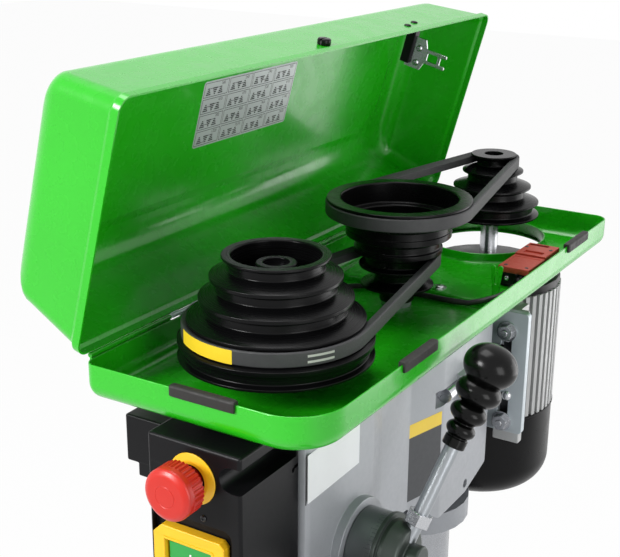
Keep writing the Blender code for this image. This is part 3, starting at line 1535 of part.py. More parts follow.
def make_motor():
    bore = turning_bore(MOTOR_SHAFT_RADIUS, SMALL_STEPS)
    valley = MOTOR_RADIUS - FIN_DEPTH
    step = 2 * math.pi / FINS
    outline = []
    for fin in range(FINS):
        middle = fin * step
        half = step * FIN_SHARE / 2
        for radius, angle in (
            (valley, middle - step * FIN_SHARE),
            (MOTOR_RADIUS, middle - half),
            (MOTOR_RADIUS, middle + half),
            (valley, middle + step * FIN_SHARE),
        ):
            outline.append((radius * math.cos(angle), radius * math.sin(angle)))
    shaft_hole = arc((0, 0), bore, 0, 2 * math.pi * (1 - 1 / SMALL_STEPS), SMALL_STEPS - 1)
    middle = motor_point(0, 0, (MOTOR_TOP + MOTOR_BOTTOM) / 2)
    body = plate(
        "motor_body", outline, MOTOR_BOTTOM - MOTOR_TOP, facing("Z", middle), holes=(shaft_hole,)
    )
    face = -FOOT_HEIGHT + FIT
    for side in (-1, 1):
        inner, outer = sorted((side * FOOT_INNER, side * FOOT_OUTER))
        foot = block(
            f"motor_foot_{side}",
            motor_point(inner, face, FOOT_BOTTOM),
            motor_point(outer, face + FOOT_THICKNESS, FOOT_TOP),
        )
        inner, outer = sorted((side * FOOT_INNER, side * WEB_OUTER))
        web = block(
            f"foot_web_{side}",
            motor_point(inner, face + FOOT_THICKNESS / 2, WEB_BOTTOM),
            motor_point(outer, -FOOT_INNER / 2, FOOT_TOP + FOOT_THICKNESS / 2),
        )
        join(body, foot, web)
    dress(body, "aluminium_frame")

    low = -MOTOR_TOP + FIT
    bell = (
        (bore, -BELL_TOP),
        (BELL_CROWN_RADIUS, -BELL_TOP),
        (BELL_RADIUS, -BELL_TOP - BELL_SHOULDER),
        (BELL_RADIUS, low),
        (bore, low),
    )
    dress(turned("motor_end_bell", bell, along((0, 0, 1), motor_point(0, 0, 0)), ring=True), "black_paint")


def make_fan_cover():
    outer = COVER_RADIUS
    inner = COVER_RADIUS - COVER_WALL
    turn = COVER_ROUNDING
    floor = -COVER_BOTTOM
    profile = [(outer, -COVER_TOP)]
    profile += arc((outer - turn, floor + turn), turn, 0, -math.pi / 2, 4)
    profile += [(0, floor), (0, floor + COVER_WALL)]
    profile += reversed(arc((outer - turn, floor + turn), turn - COVER_WALL, 0, -math.pi / 2, 4))
    profile += [(inner, -COVER_TOP)]
    cover = turned("motor_fan_cover", profile + [profile[0]], along((0, 0, 1), motor_point(0, 0, 0)))
    near, far = COVER_SLOT_RADII
    for number in range(COVER_SLOTS):
        run = (far - near) / 2
        slot = obround(((near + far) / 2, 0), run, COVER_SLOT_WIDTH / 2, upright=False, steps=3)
        turn_round = Matrix.Rotation(number * 2 * math.pi / COVER_SLOTS, 4, "Z")
        place = Matrix.Translation(motor_point(0, 0, COVER_BOTTOM)) @ turn_round
        cut(cover, plate("cover_slot", slot, 4 * OVERRUN, place))
    return dress(cover, "black_paint")


def make_rotor():
    shaft = rod(
        "motor_shaft",
        MOTOR_SHAFT_RADIUS,
        motor_point(0, 0, FAN_TOP + FAN_HEIGHT),
        motor_point(0, 0, -MOTOR_SHAFT_TOP),
        SMALL_STEPS,
    )
    dress(shaft, "bright_steel")
    top = motor_point(0, 0, FAN_TOP)
    bottom = motor_point(0, 0, FAN_TOP + FAN_HEIGHT)
    bore = MOTOR_SHAFT_RADIUS + FIT
    half = FAN_HEIGHT / 2
    hub = ((bore, half), (FAN_HUB_RADIUS, half), (FAN_HUB_RADIUS, -half), (bore, -half))
    fan = turned("motor_fan", hub, along((0, 0, 1), (top + bottom) / 2), SMALL_STEPS, ring=True)
    inside = FAN_HUB_RADIUS - FAN_BLADE_THICKNESS
    for number in range(FAN_BLADES):
        blade = block(
            "fan_blade",
            (inside, -FAN_BLADE_THICKNESS / 2, -half + FAN_BLADE_THICKNESS),
            (FAN_RADIUS, FAN_BLADE_THICKNESS / 2, half - FAN_BLADE_THICKNESS),
        )
        spin = Matrix.Rotation(number * 2 * math.pi / FAN_BLADES, 4, "Z")
        blade.data.transform(Matrix.Translation((top + bottom) / 2) @ spin)
        join(fan, blade)
    return dress(fan, "black_paint")


def make_motor_mount():
    back = MOTOR_Y - FOOT_HEIGHT
    middle = back - PLATE_THICKNESS / 2
    low, high = RIM_HEIGHT - PLATE_BOTTOM, RIM_HEIGHT - PLATE_TOP
    outline = rounded_box(-PLATE_HALF_WIDTH, PLATE_HALF_WIDTH, low, high, (PLATE_CORNER,) * 4, 2)
    slots = []
    for side in (-1, 1):
        for drop, toward in zip(STUD_DROPS, (-1, 1)):
            centre = (side * STUD_X, RIM_HEIGHT - drop + toward * SLOT_RUN / 2 - toward * SLOT_RADIUS / 2)
            slots.append(obround(centre, SLOT_RUN / 2, SLOT_RADIUS, steps=4))
    mount = plate("motor_plate", outline, PLATE_THICKNESS, facing("Y", (0, middle, 0)), holes=slots)
    front = back - PLATE_THICKNESS
    for side in (-1, 1):
        for drop in STUD_DROPS:
            x, z = side * STUD_X, RIM_HEIGHT - drop
            ends = (x, front - WASHER_THICKNESS, z), (x, front + FIT, z)
            washer = rod("washer", WASHER_RADIUS, *ends, 12, spin=NUT_TURN)
            nut = rod("nut", NUT_RADIUS, (x, front - NUT_HEIGHT, z), (x, front - FIT, z), 6, spin=NUT_TURN)
            stud = rod("stud", STUD_RADIUS, (x, front - NUT_HEIGHT - FIT * 8, z), (x, back - FIT, z), 6)
            join(mount, washer, nut, stud)
    dress(mount, "zinc_plate")
    for side, name in ((-1, "slide_bar_left"), (1, "slide_bar_right")):
        bar = rod(
            name,
            BAR_RADIUS,
            spindle_point(side * BAR_X, BAR_FRONT, BAR_DROP),
            (side * BAR_X, front - FIT, RIM_HEIGHT - BAR_DROP),
            SMALL_STEPS,
        )
        dress(bar, "bright_steel")


def make_bar_knob():
    stem_start = BAR_X + BAR_RADIUS + FIT
    face = BAR_X + BAR_BOSS_RADIUS + FIT
    profile = (
        (0, face + BAR_KNOB_LENGTH),
        (BAR_KNOB_RADIUS - SHEET, face + BAR_KNOB_LENGTH),
        (BAR_KNOB_RADIUS, face + BAR_KNOB_LENGTH - SHEET),
        (BAR_KNOB_RADIUS, face),
        (BAR_KNOB_STEM_RADIUS, face),
        (BAR_KNOB_STEM_RADIUS, stem_start),
        (0, stem_start),
    )
    axis = spindle_point(0, BAR_KNOB_Y, BAR_DROP)
    dress(turned("slide_lock_knob", profile, along((1, 0, 0), axis), SMALL_STEPS), "bright_steel")
    return axis


def make_quill():
    low, high = -QUILL_BOTTOM, -QUILL_TOP
    bore = SPINDLE_RADIUS + FIT
    profile = ((bore, high), (QUILL_RADIUS, high), (QUILL_RADIUS, low), (bore, low))
    quill = turned("quill", profile, along((0, 0, 1), spindle_point(0, 0, 0)), ring=True)
    pitch = math.pi * QUILL_RACK_MODULE
    teeth_low = RIM_HEIGHT - FEED_DROP - 2 * pitch
    teeth_high = RIM_HEIGHT - FEED_DROP + QUILL_STROKE + 2 * pitch
    edge = rack_edge(QUILL_RACK_MODULE, teeth_low, teeth_high, RIM_HEIGHT - FEED_DROP)
    line = SPINDLE_Y + QUILL_RACK_PITCH_LINE
    outline = [(z, -line - out) for z, out in edge]
    beyond = SPINDLE_Y + QUILL_RADIUS + OVERRUN
    outline += [(teeth_high, -beyond), (teeth_low, -beyond)]
    cut(quill, plate("quill_rack", outline, 2 * QUILL_RACK_HALF_WIDTH, upright_strip()))
    return dress(quill, "bright_steel")


def make_spindle():
    collar_top = -QUILL_BOTTOM - FIT
    collar_low = collar_top - SPINDLE_COLLAR
    profile = (
        (0, SPINDLE_TOP),
        (SPINDLE_RADIUS, SPINDLE_TOP),
        (SPINDLE_RADIUS, collar_top),
        (SPINDLE_COLLAR_RADIUS, collar_top),
        (SPINDLE_COLLAR_RADIUS, collar_low),
        (NOSE_RADIUS, collar_low),
        (NOSE_TIP_RADIUS, collar_low - NOSE_LENGTH),
        (0, collar_low - NOSE_LENGTH),
    )
    axis = spindle_point(0, 0, 0)
    dress(turned("spindle", profile, along((0, 0, 1), axis), SMALL_STEPS), "bright_steel")

    top = -CHUCK_TOP
    low = top - CHUCK_LENGTH
    nose_bore_end = top - NOSE_LENGTH
    head_end = top - CHUCK_HEAD_LENGTH
    profile = (
        (NOSE_RADIUS + FIT, top),
        (CHUCK_HEAD_RADIUS - SHEET, top),
        (CHUCK_HEAD_RADIUS, top - SHEET),
        (CHUCK_HEAD_RADIUS, head_end),
        (CHUCK_RADIUS, head_end),
        (CHUCK_RADIUS, low + CHUCK_NOSE_LENGTH),
        (CHUCK_NOSE_RADIUS, low),
        (CHUCK_MOUTH_RADIUS, low),
        (CHUCK_MOUTH_RADIUS, low + CHUCK_MOUTH_DEPTH),
        (0, low + CHUCK_MOUTH_DEPTH),
        (0, nose_bore_end - FIT),
        (NOSE_TIP_RADIUS + FIT, nose_bore_end - FIT),
        (NOSE_RADIUS + FIT, top),
    )
    chuck = turned("chuck_body", profile, along((0, 0, 1), axis))
    for number in range(3):
        angle = number * 2 * math.pi / 3
        slit = block(
            "jaw_slit",
            (0, -JAW_SLIT / 2, low - OVERRUN),
            (CHUCK_RADIUS + OVERRUN, JAW_SLIT / 2, low + CHUCK_NOSE_LENGTH / 2),
        )
        slit.data.transform(Matrix.Translation(axis) @ Matrix.Rotation(angle, 4, "Z"))
        key_drop = head_end - CHUCK_KEY_HOLE_RADIUS - SHEET + CHUCK_HEAD_LENGTH / 2
        key_hole = rod(
            "key_hole",
            CHUCK_KEY_HOLE_RADIUS,
            (CHUCK_RADIUS - OVERRUN, 0, key_drop),
            (CHUCK_HEAD_RADIUS + OVERRUN, 0, key_drop),
            6,
        )
        key_hole.data.transform(Matrix.Translation(axis) @ Matrix.Rotation(angle, 4, "Z"))
        cut(chuck, slit, key_hole)
    dress(chuck, "bright_steel")

    inner = CHUCK_RADIUS + FIT
    ring_top = head_end - FIT
    ring_low = ring_top - SLEEVE_RING_LENGTH
    tooth_end = ring_top - 2 * SHEET
    ring = (
        (inner, ring_top),
        (SLEEVE_RING_RADIUS, tooth_end),
        (SLEEVE_RING_RADIUS, ring_low + SHEET),
        (SLEEVE_RING_RADIUS - SHEET, ring_low),
        (inner, ring_low),
    )
    dress(turned("chuck_sleeve", ring, along((0, 0, 1), axis), ring=True), "bright_steel")
    return axis


def make_feed():
    centre = spindle_point(0, FEED_BEHIND, FEED_DROP)
    place = facing("X", centre) @ Matrix.Rotation(math.pi, 4, "Z")
    width = 2 * FEED_PINION_HALF_WIDTH
    shaft = plate("feed_shaft", gear_outline(FEED_TEETH, QUILL_RACK_MODULE), width, place)
    cup_face = -FEED_BOSS_FACE - FIT
    shaft_left = cup_face - SPRING_CUP_WIDTH - SPRING_CUP_CENTRE
    shaft_right = HUB_BODY_END - SHEET
    spine = rod(
        "feed_spine",
        FEED_SHAFT_RADIUS,
        centre + Vector((shaft_left, 0, 0)),
        centre + Vector((shaft_right, 0, 0)),
        SMALL_STEPS,
        spin=NUT_TURN,
    )
    collar = rod(
        "feed_collar",
        FEED_COLLAR_RADIUS,
        centre + Vector((FEED_COLLAR_START, 0, 0)),
        centre + Vector((FEED_BOSS_FACE, 0, 0)),
        SMALL_STEPS,
    )
    dress(join(shaft, spine, collar), "bright_steel")

    start = FEED_BOSS_FACE + FIT
    bore = FEED_SHAFT_RADIUS + FIT
    profile = [
        (0, CAP_END),
        (CAP_RADIUS - SHEET, CAP_END),
        (CAP_RADIUS, CAP_END - SHEET),
        (CAP_RADIUS, HUB_BODY_END),
        (HUB_NOSE_RADIUS, HUB_BODY_END),
        (HUB_RADIUS - SHEET, HUB_DRUM_END),
        (HUB_RADIUS - SHEET, DEPTH_RING_END + FIT + RING_WIDTH),
        (RING_OUTER_RADIUS, DEPTH_RING_END + FIT + RING_WIDTH),
        (RING_OUTER_RADIUS, DEPTH_RING_END + FIT),
        (HUB_SPIGOT_RADIUS, DEPTH_RING_END + FIT),
        (HUB_SPIGOT_RADIUS, start),
        (bore, start),
        (bore, shaft_right + FIT),
        (0, shaft_right + FIT),
    ]
    hub = turned("feed_hub", profile, along((1, 0, 0), centre))
    for number in range(LEVERS):
        direction, root = lever_line(number)
        hole = rod(
            "lever_hole",
            LEVER_RADIUS + FIT,
            root + direction * (LEVER_START - FIT),
            root + direction * LEVER_NUT_END,
            SMALL_STEPS,
        )
        cut(hub, hole)
    dress(hub, "bright_steel")

    cup_radius = SPRING_CUP_RADIUS
    cup_end = cup_face - SPRING_CUP_WIDTH
    profile = (
        (bore, cup_face),
        (cup_radius, cup_face),
        (cup_radius, cup_end + SHEET),
        (cup_radius - SHEET, cup_end),
        (bore, cup_end),
    )
    dress(turned("return_spring_cup", profile, along((1, 0, 0), centre), ring=True), "black_paint")
    return centre


def lever_line(number):
    """A feed lever's direction, and the point where its line meets the hub's axis."""
    angle = LEVER_FIRST_ANGLE + number * 2 * math.pi / LEVERS
    flat = math.cos(LEVER_LEAN)
    direction = Vector((math.sin(LEVER_LEAN), flat * math.cos(angle), flat * math.sin(angle)))
    return direction, spindle_point(LEVER_ROOT, FEED_BEHIND, FEED_DROP)


def grip_profile():
    """A row of swelling beads from the collar to the ball end, from its far end down."""
    neck = GRIP_END_RADIUS * GRIP_NECK_SHARE
    beads = list(zip(GRIP_BEAD_PLACE_SHARES, GRIP_BEAD_LENGTH_SHARES, GRIP_BEAD_RADIUS_SHARES))
    points = [(0, GRIP_LENGTH)]
    for place, length, radius in reversed(beads):
        middle = place * GRIP_LENGTH
        half = length * GRIP_LENGTH / 2
        full = radius * GRIP_END_RADIUS
        waist = full * GRIP_NECK_SHARE
        last = place == GRIP_BEAD_PLACE_SHARES[-1]
        for share in GRIP_BEAD_STEP_SHARES:
            swell = math.sqrt(1 - share * share)
            floor = 0 if last and share > 0 else waist
            points.append((floor + (full - floor) * swell, middle + share * half))
    points.append((neck * GRIP_BEAD_RADIUS_SHARES[0], 0))
    return points


def make_levers():
    for number in range(LEVERS):
        direction, root = lever_line(number)
        name = str(number + 1)
        lever = rod(
            "feed_lever_" + name,
            LEVER_RADIUS,
            root + direction * LEVER_START,
            root + direction * LEVER_END,
            16,
        )
        nut = rod(
            "lever_nut_" + name,
            LEVER_NUT_RADIUS,
            root + direction * LEVER_NUT_START,
            root + direction * LEVER_NUT_END,
            6,
        )
        dress(join(lever, nut), "bright_steel")
        bore = LEVER_RADIUS + FIT
        bore_end = LEVER_END - GRIP_START + FIT
        profile = grip_profile() + [(bore, 0), (bore, bore_end), (0, bore_end)]
        place = along(direction, root + direction * GRIP_START)
        grip = turned("feed_grip_" + name, profile, place, GRIP_STEPS)
        dress(grip, "gloss_black")


def make_depth_ring():
    """The graduated ring round the feed hub, with the knob screw that locks it."""
    centre = spindle_point(0, FEED_BEHIND, FEED_DROP)
    start = FEED_BOSS_FACE + FIT
    inner = HUB_SPIGOT_RADIUS + FIT
    profile = (
        (inner, DEPTH_RING_END),
        (HUB_RADIUS, DEPTH_RING_END),
        (HUB_RADIUS, start),
        (inner, start),
    )
    ring = turned("depth_ring", profile, along((1, 0, 0), centre), ring=True)
    out = Vector((0, math.cos(DEPTH_SCREW_ANGLE), math.sin(DEPTH_SCREW_ANGLE)))
    root = centre + Vector((DEPTH_SCREW_X, 0, 0))
    hole = rod(
        "depth_screw_hole", DEPTH_SCREW_RADIUS + FIT, root, root + out * DEPTH_KNOB_START, SMALL_STEPS
    )
    dress(cut(ring, hole), "dark_steel")

    knob = rod(
        "depth_ring_knob",
        DEPTH_SCREW_RADIUS,
        root + out * (inner + FIT),
        root + out * (DEPTH_KNOB_START + OVERRUN),
        SMALL_STEPS,
    )
    wave = DEPTH_KNOB_RADIUS * DEPTH_KNOB_WAVE_SHARE
    middle = DEPTH_KNOB_RADIUS - wave
    count = DEPTH_KNOB_LOBES * 6
    outline = []
    for step in range(count):
        angle = 2 * math.pi * step / count
        radius = middle + wave * math.cos(DEPTH_KNOB_LOBES * angle)
        outline.append((radius * math.cos(angle), radius * math.sin(angle)))
    place = along(out, root + out * (DEPTH_KNOB_START + DEPTH_KNOB_LENGTH / 2))
    head = plate("depth_knob_head", outline, DEPTH_KNOB_LENGTH, place)
    dress(join(knob, head), "gloss_black")
    return root


def make_switch_box():
    back = SPINDLE_Y - HEAD_FRONT - FIT
    front = SPINDLE_Y - BOX_FRONT
    box = block(
        "switch_box",
        (BOX_LEFT, front, RIM_HEIGHT - BOX_BOTTOM),
        (BOX_RIGHT, back, RIM_HEIGHT - BOX_TOP),
        BOX_EDGE,
    )
    side_low = RIM_HEIGHT - SIDE_BLOCK_BOTTOM
    side_high = RIM_HEIGHT - SIDE_BLOCK_TOP
    inner = BOX_LEFT + OVERRUN
    step = SIDE_BLOCK_STEP
    side_front = SPINDLE_Y - SIDE_BLOCK_FRONT
    upper = block(
        "side_block", (SIDE_BLOCK_LEFT, side_front, side_low + step), (inner, back, side_high), BOX_EDGE
    )
    lower = block(
        "side_block_foot",
        (SIDE_BLOCK_LEFT + step, side_front + FIT, side_low),
        (inner, back - FIT, side_low + 2 * step),
        BOX_EDGE / 2,
    )
    join(box, upper, lower)

    groove_x = BOX_RIGHT - GROOVE_DEPTH + GROOVE_RADIUS
    groove_z = RIM_HEIGHT - GROOVE_DROP
    groove_front = front - OVERRUN
    groove_back = back - GROOVE_END_WALL
    groove = plate(
        "finger_groove",
        obround((groove_x + GROOVE_DEPTH, groove_z), GROOVE_DEPTH, GROOVE_RADIUS, upright=False),
        groove_back - groove_front,
        facing("Y", (0, (groove_back + groove_front) / 2, 0)),
    )
    recess = plate(
        "button_recess",
        rounded_box(
            RECESS_LEFT,
            RECESS_RIGHT,
            RIM_HEIGHT - RECESS_BOTTOM,
            RIM_HEIGHT - RECESS_TOP,
            (RECESS_CORNER,) * 4,
        ),
        2 * RECESS_DEPTH,
        facing("Y", (0, front, 0)),
    )
    cut(box, groove, recess)
    estop_z = RIM_HEIGHT - ESTOP_DROP
    stem_depth = ESTOP_NECK_RADIUS
    stem_room = rod(
        "estop_room",
        ESTOP_STEM_RADIUS + FIT,
        (ESTOP_X, front - OVERRUN, estop_z),
        (ESTOP_X, front + stem_depth + ESTOP_TRAVEL, estop_z),
        SMALL_STEPS,
    )
    cut(box, stem_room)
    for name, low, high in button_places():
        left, right = button_sides()
        room = block(
            name + "_room",
            (left - FIT, front, low - FIT),
            (right + FIT, front + RECESS_DEPTH + 2 * BUTTON_TRAVEL, high + FIT),
        )
        cut(box, room)
    return dress(box, "box_plastic")


def button_sides():
    return FRAME_LEFT + FRAME_RIM + BUTTON_SIDE, FRAME_RIGHT - FRAME_RIM - BUTTON_SIDE


def button_places():
    """Each push button's name with its lowest and highest level."""
    low = RIM_HEIGHT - FRAME_BOTTOM + FRAME_RIM
    high = RIM_HEIGHT - FRAME_TOP - FRAME_RIM
    middle = (low + high) / 2
    return (
        ("start_button", middle + BUTTON_SIDE / 2, high - BUTTON_SIDE),
        ("stop_button", low + BUTTON_SIDE, middle - BUTTON_SIDE / 2),
    )


def make_estop():
    front = SPINDLE_Y - BOX_FRONT
    centre = Vector((ESTOP_X, front, RIM_HEIGHT - ESTOP_DROP))
    neck = ESTOP_NECK_RADIUS
    thick = ESTOP_RING_THICKNESS
    ring = (
        (neck + FIT, thick),
        (neck + SHEET, thick),
        (ESTOP_RING_RADIUS, FIT + SHEET),
        (ESTOP_RING_RADIUS, FIT),
        (neck + FIT, FIT),
    )
    place = along((0, -1, 0), centre)
    dress(turned("estop_ring", ring, place, ring=True), "yellow_plastic")

    reach = ESTOP_REACH
    head_back = reach - ESTOP_HEAD_LENGTH
    dish = ESTOP_HEAD_RADIUS - ESTOP_STEM_RADIUS
    profile = (
        (0, reach - SHEET / 2),
        (dish - SHEET, reach - SHEET / 2),
        (dish, reach),
        (ESTOP_HEAD_RADIUS - SHEET, reach),
        (ESTOP_HEAD_RADIUS, reach - SHEET),
        (ESTOP_HEAD_BACK_RADIUS, head_back + ESTOP_STEM_RADIUS),
        (neck, head_back),
        (neck, thick / 2 + ESTOP_TRAVEL + FIT),
        (ESTOP_STEM_RADIUS, thick / 2 + ESTOP_TRAVEL + FIT),
        (ESTOP_STEM_RADIUS, -neck + FIT),
        (0, -neck + FIT),
    )
    button = turned("estop_button", profile, place, ESTOP_TEETH)
    dress(button, "red_button")
    return centre


def make_buttons():
    front = SPINDLE_Y - BOX_FRONT
    floor = front + RECESS_DEPTH - FIT
    proud = front - FRAME_PROUD
    cut_off = FRAME_CHAMFER
    low, high = RIM_HEIGHT - FRAME_BOTTOM, RIM_HEIGHT - FRAME_TOP
    outline = (
        (FRAME_LEFT, low),
        (FRAME_RIGHT, low),
        (FRAME_RIGHT, high - cut_off / 2),
        (FRAME_RIGHT - cut_off / 2, high),
        (FRAME_LEFT + cut_off, high),
        (FRAME_LEFT, high - cut_off),
    )
    window = (
        (FRAME_LEFT + FRAME_RIM, low + FRAME_RIM),
        (FRAME_RIGHT - FRAME_RIM, low + FRAME_RIM),
        (FRAME_RIGHT - FRAME_RIM, high - FRAME_RIM),
        (FRAME_LEFT + FRAME_RIM, high - FRAME_RIM),
    )
    depth = floor - proud
    frame = plate(
        "switch_frame", outline, depth, facing("Y", (0, (floor + proud) / 2, 0)), holes=(window,)
    )
    dress(frame, "yellow_plastic")
    left, right = button_sides()
    for (name, bottom, top), colour in zip(button_places(), ("green_button", "red_button")):
        button = block(
            name,
            (left, front - BUTTON_PROUD, bottom),
            (right, front + RECESS_DEPTH + BUTTON_TRAVEL - FIT, top),
            BUTTON_EDGE,
        )
        dress(button, colour)


def lid_place():
    """Takes the lid's closed frame to its open rest place."""
    axis = (-TRAY_WIDTH / 2 - HINGE_OUTSET, SPINDLE_Y, RIM_HEIGHT + HINGE_LIFT)
    return Matrix.Translation(axis) @ Matrix.Rotation(-LID_OPEN_ANGLE, 4, "Y")


def lid_outline(depth, inset):
    """The lid's outer outline at a depth below its rim, drafted and drawn in by inset."""
    run = max(depth - LID_RIM - LID_LIP, 0)
    left = LID_RIM + run * math.tan(LID_LEFT_DRAFT) + inset
    right = LID_WIDTH - run * math.tan(LID_RIGHT_DRAFT) - inset
    end = run * math.tan(LID_END_DRAFT) + inset
    radius = LID_CORNER + inset * LID_CORNER_GROWTH
    return rounded_box(left, right, end - LID_FRONT, LID_BACK - end, (radius,) * 4, 3)


def make_lid():
    place = lid_place()
    turn = LID_TOP_ROUNDING
    wall_end = LID_DEPTH - turn
    step = LID_JOGGLE
    rings = [
        (lid_outline(0, 0), LID_RIM),
        (lid_outline(0, 0), LID_RIM + LID_LIP - LID_JOGGLE_RUN),
        (lid_outline(0, step), LID_RIM + LID_LIP),
    ]
    for inward, upward in arc((turn, 0), turn, math.pi, math.pi / 2, 4):
        rings.append((lid_outline(wall_end, step + inward), wall_end + upward))
    margin = step + turn + PANEL_MARGIN - turn / 2
    rings.append((lid_outline(wall_end, margin), LID_DEPTH))
    rings.append((lid_outline(wall_end, margin + PANEL_BEVEL), LID_DEPTH - PANEL_PRESS))
    lid = thicken(loft("pulley_lid", rings), SHEET)

    for y in HINGE_PLACES:
        knuckle = rod(
            "lid_knuckle", KNUCKLE_RADIUS, (0, y - KNUCKLE_END_HALF, 0), (0, y + KNUCKLE_END_HALF, 0), PIN_STEPS
        )
        strap = block(
            "lid_strap",
            (0, y - KNUCKLE_END_HALF, KNUCKLE_RADIUS / 2),
            (LID_RIM + SHEET / 2, y + KNUCKLE_END_HALF, LID_LIP - LID_JOGGLE_RUN),
        )
        room = rod(
            "knuckle_room",
            KNUCKLE_RADIUS + 3 * FIT,
            (0, y - KNUCKLE_HALF, 0),
            (0, y + KNUCKLE_HALF, 0),
            PIN_STEPS,
        )
        strap_room = block(
            "strap_room",
            (-OVERRUN, y - KNUCKLE_HALF, 0),
            (LID_RIM + SHEET + OVERRUN, y + KNUCKLE_HALF, LID_LIP + OVERRUN),
        )
        pin_hole = rod(
            "pin_hole",
            HINGE_PIN_RADIUS + FIT,
            (0, y - KNUCKLE_END_HALF - OVERRUN, 0),
            (0, y + KNUCKLE_END_HALF + OVERRUN, 0),
            PIN_STEPS,
        )
        join(lid, knuckle, strap)
        cut(lid, room, strap_room, pin_hole)
    wall = Vector((knob_wall(), LID_KNOB_Y, LID_KNOB_D))
    out = Vector((math.cos(LID_RIGHT_DRAFT), 0, math.sin(LID_RIGHT_DRAFT))) * OVERRUN
    knob_hole = rod("knob_hole", LID_KNOB_STEM_RADIUS + FIT, wall - out, wall + out, SMALL_STEPS)
    cut(lid, knob_hole)
    dress(settled(lid, place), "green_paint")


def knob_wall():
    """Where the lid's right wall stands, from the hinge axis, at the knob."""
    return LID_WIDTH - LID_JOGGLE - (LID_KNOB_D - LID_RIM - LID_LIP) * math.tan(LID_RIGHT_DRAFT)


def make_lid_fittings():
    place = lid_place()
    outer = FIT
    inner = -SHEET - FIT
    profile = (
        (0, outer + LID_KNOB_LENGTH),
        (LID_KNOB_RADIUS - SHEET, outer + LID_KNOB_LENGTH),
        (LID_KNOB_RADIUS, outer + LID_KNOB_LENGTH - SHEET),
        (LID_KNOB_RADIUS, outer),
        (LID_KNOB_STEM_RADIUS, outer),
        (LID_KNOB_STEM_RADIUS, inner),
        (LID_KNOB_INNER_RADIUS, inner),
        (LID_KNOB_INNER_RADIUS, inner - LID_KNOB_LENGTH),
        (0, inner - LID_KNOB_LENGTH),
    )
    out = (math.cos(LID_RIGHT_DRAFT), 0, math.sin(LID_RIGHT_DRAFT))
    on_wall = along(out, (knob_wall(), LID_KNOB_Y, LID_KNOB_D))
    knob = turned("lid_knob", profile, on_wall, ROUND_STEPS // 2)
    dress(settled(knob, place), "gloss_black")

    half, tine = KEY_HALF, KEY_TINE
    left, right = KEY_U - half, KEY_U + half
    plate_left, plate_right = KEY_U - KEY_PLATE_HALF, KEY_U + KEY_PLATE_HALF
    cross_low, cross_high = KEY_CROSS
    outline = (
        (left, KEY_TIP),
        (left + tine, KEY_TIP),
        (left + tine, cross_low),
        (right - tine, cross_low),
        (right - tine, KEY_TIP),
        (right, KEY_TIP),
        (right, KEY_ROOT),
        (plate_right, KEY_ROOT + tine),
        (plate_right, KEY_PLATE_END),
        (plate_left, KEY_PLATE_END),
        (plate_left, KEY_ROOT + tine),
        (left, KEY_ROOT),
    )
    rounding = tine / 4
    window = rounded_box(
        left + tine + FIT, right - tine - FIT, cross_high, KEY_ROOT - tine, (rounding,) * 4, 1
    )
    key = plate("interlock_key", outline, KEY_THICKNESS, facing("Y", (0, KEY_Y, 0)), holes=(window,))
    low, high = HOLDER_D
    slope = math.tan(LID_RIGHT_DRAFT)
    holder_wall = LID_WIDTH - LID_JOGGLE - SHEET - (high - LID_RIM - LID_LIP) * slope - 2 * FIT
    holder = block(
        "key_holder",
        (plate_left + tine, KEY_Y - HOLDER_HALF_DEPTH, low),
        (holder_wall, KEY_Y + HOLDER_HALF_DEPTH, high),
        FIT * 2,
    )
    join(key, holder)
    dress(settled(key, place), "bright_steel")


def make_tray_hinges():
    axis = Vector((-TRAY_WIDTH / 2 - HINGE_OUTSET, SPINDLE_Y, RIM_HEIGHT + HINGE_LIFT))
    leaf_face = -TRAY_WIDTH / 2 - FIT
    for name, y in zip(("hinge_front", "hinge_rear"), HINGE_PLACES):
        half = KNUCKLE_HALF - FIT
        middle = axis + Vector((0, y, 0))
        hinge = rod(
            name, KNUCKLE_RADIUS, middle - Vector((0, half, 0)), middle + Vector((0, half, 0)), PIN_STEPS
        )
        pin = rod(
            name + "_pin",
            HINGE_PIN_RADIUS,
            middle - Vector((0, KNUCKLE_END_HALF, 0)),
            middle + Vector((0, KNUCKLE_END_HALF, 0)),
            PIN_STEPS,
        )
        leaf = block(
            name + "_leaf",
            (leaf_face - SHEET, middle.y - half, RIM_HEIGHT - HINGE_LEAF_DROP),
            (leaf_face, middle.y + half, middle.z),
        )
        rim_room = block(
            name + "_rim_room",
            (leaf_face, middle.y - KNUCKLE_END_HALF, RIM_HEIGHT - HINGE_LEAF_DROP - OVERRUN),
            (leaf_face + OVERRUN, middle.y + KNUCKLE_END_HALF, RIM_HEIGHT + FIT),
        )
        dress(cut(join(hinge, leaf, pin), rim_room), "zinc_plate")
    return axis


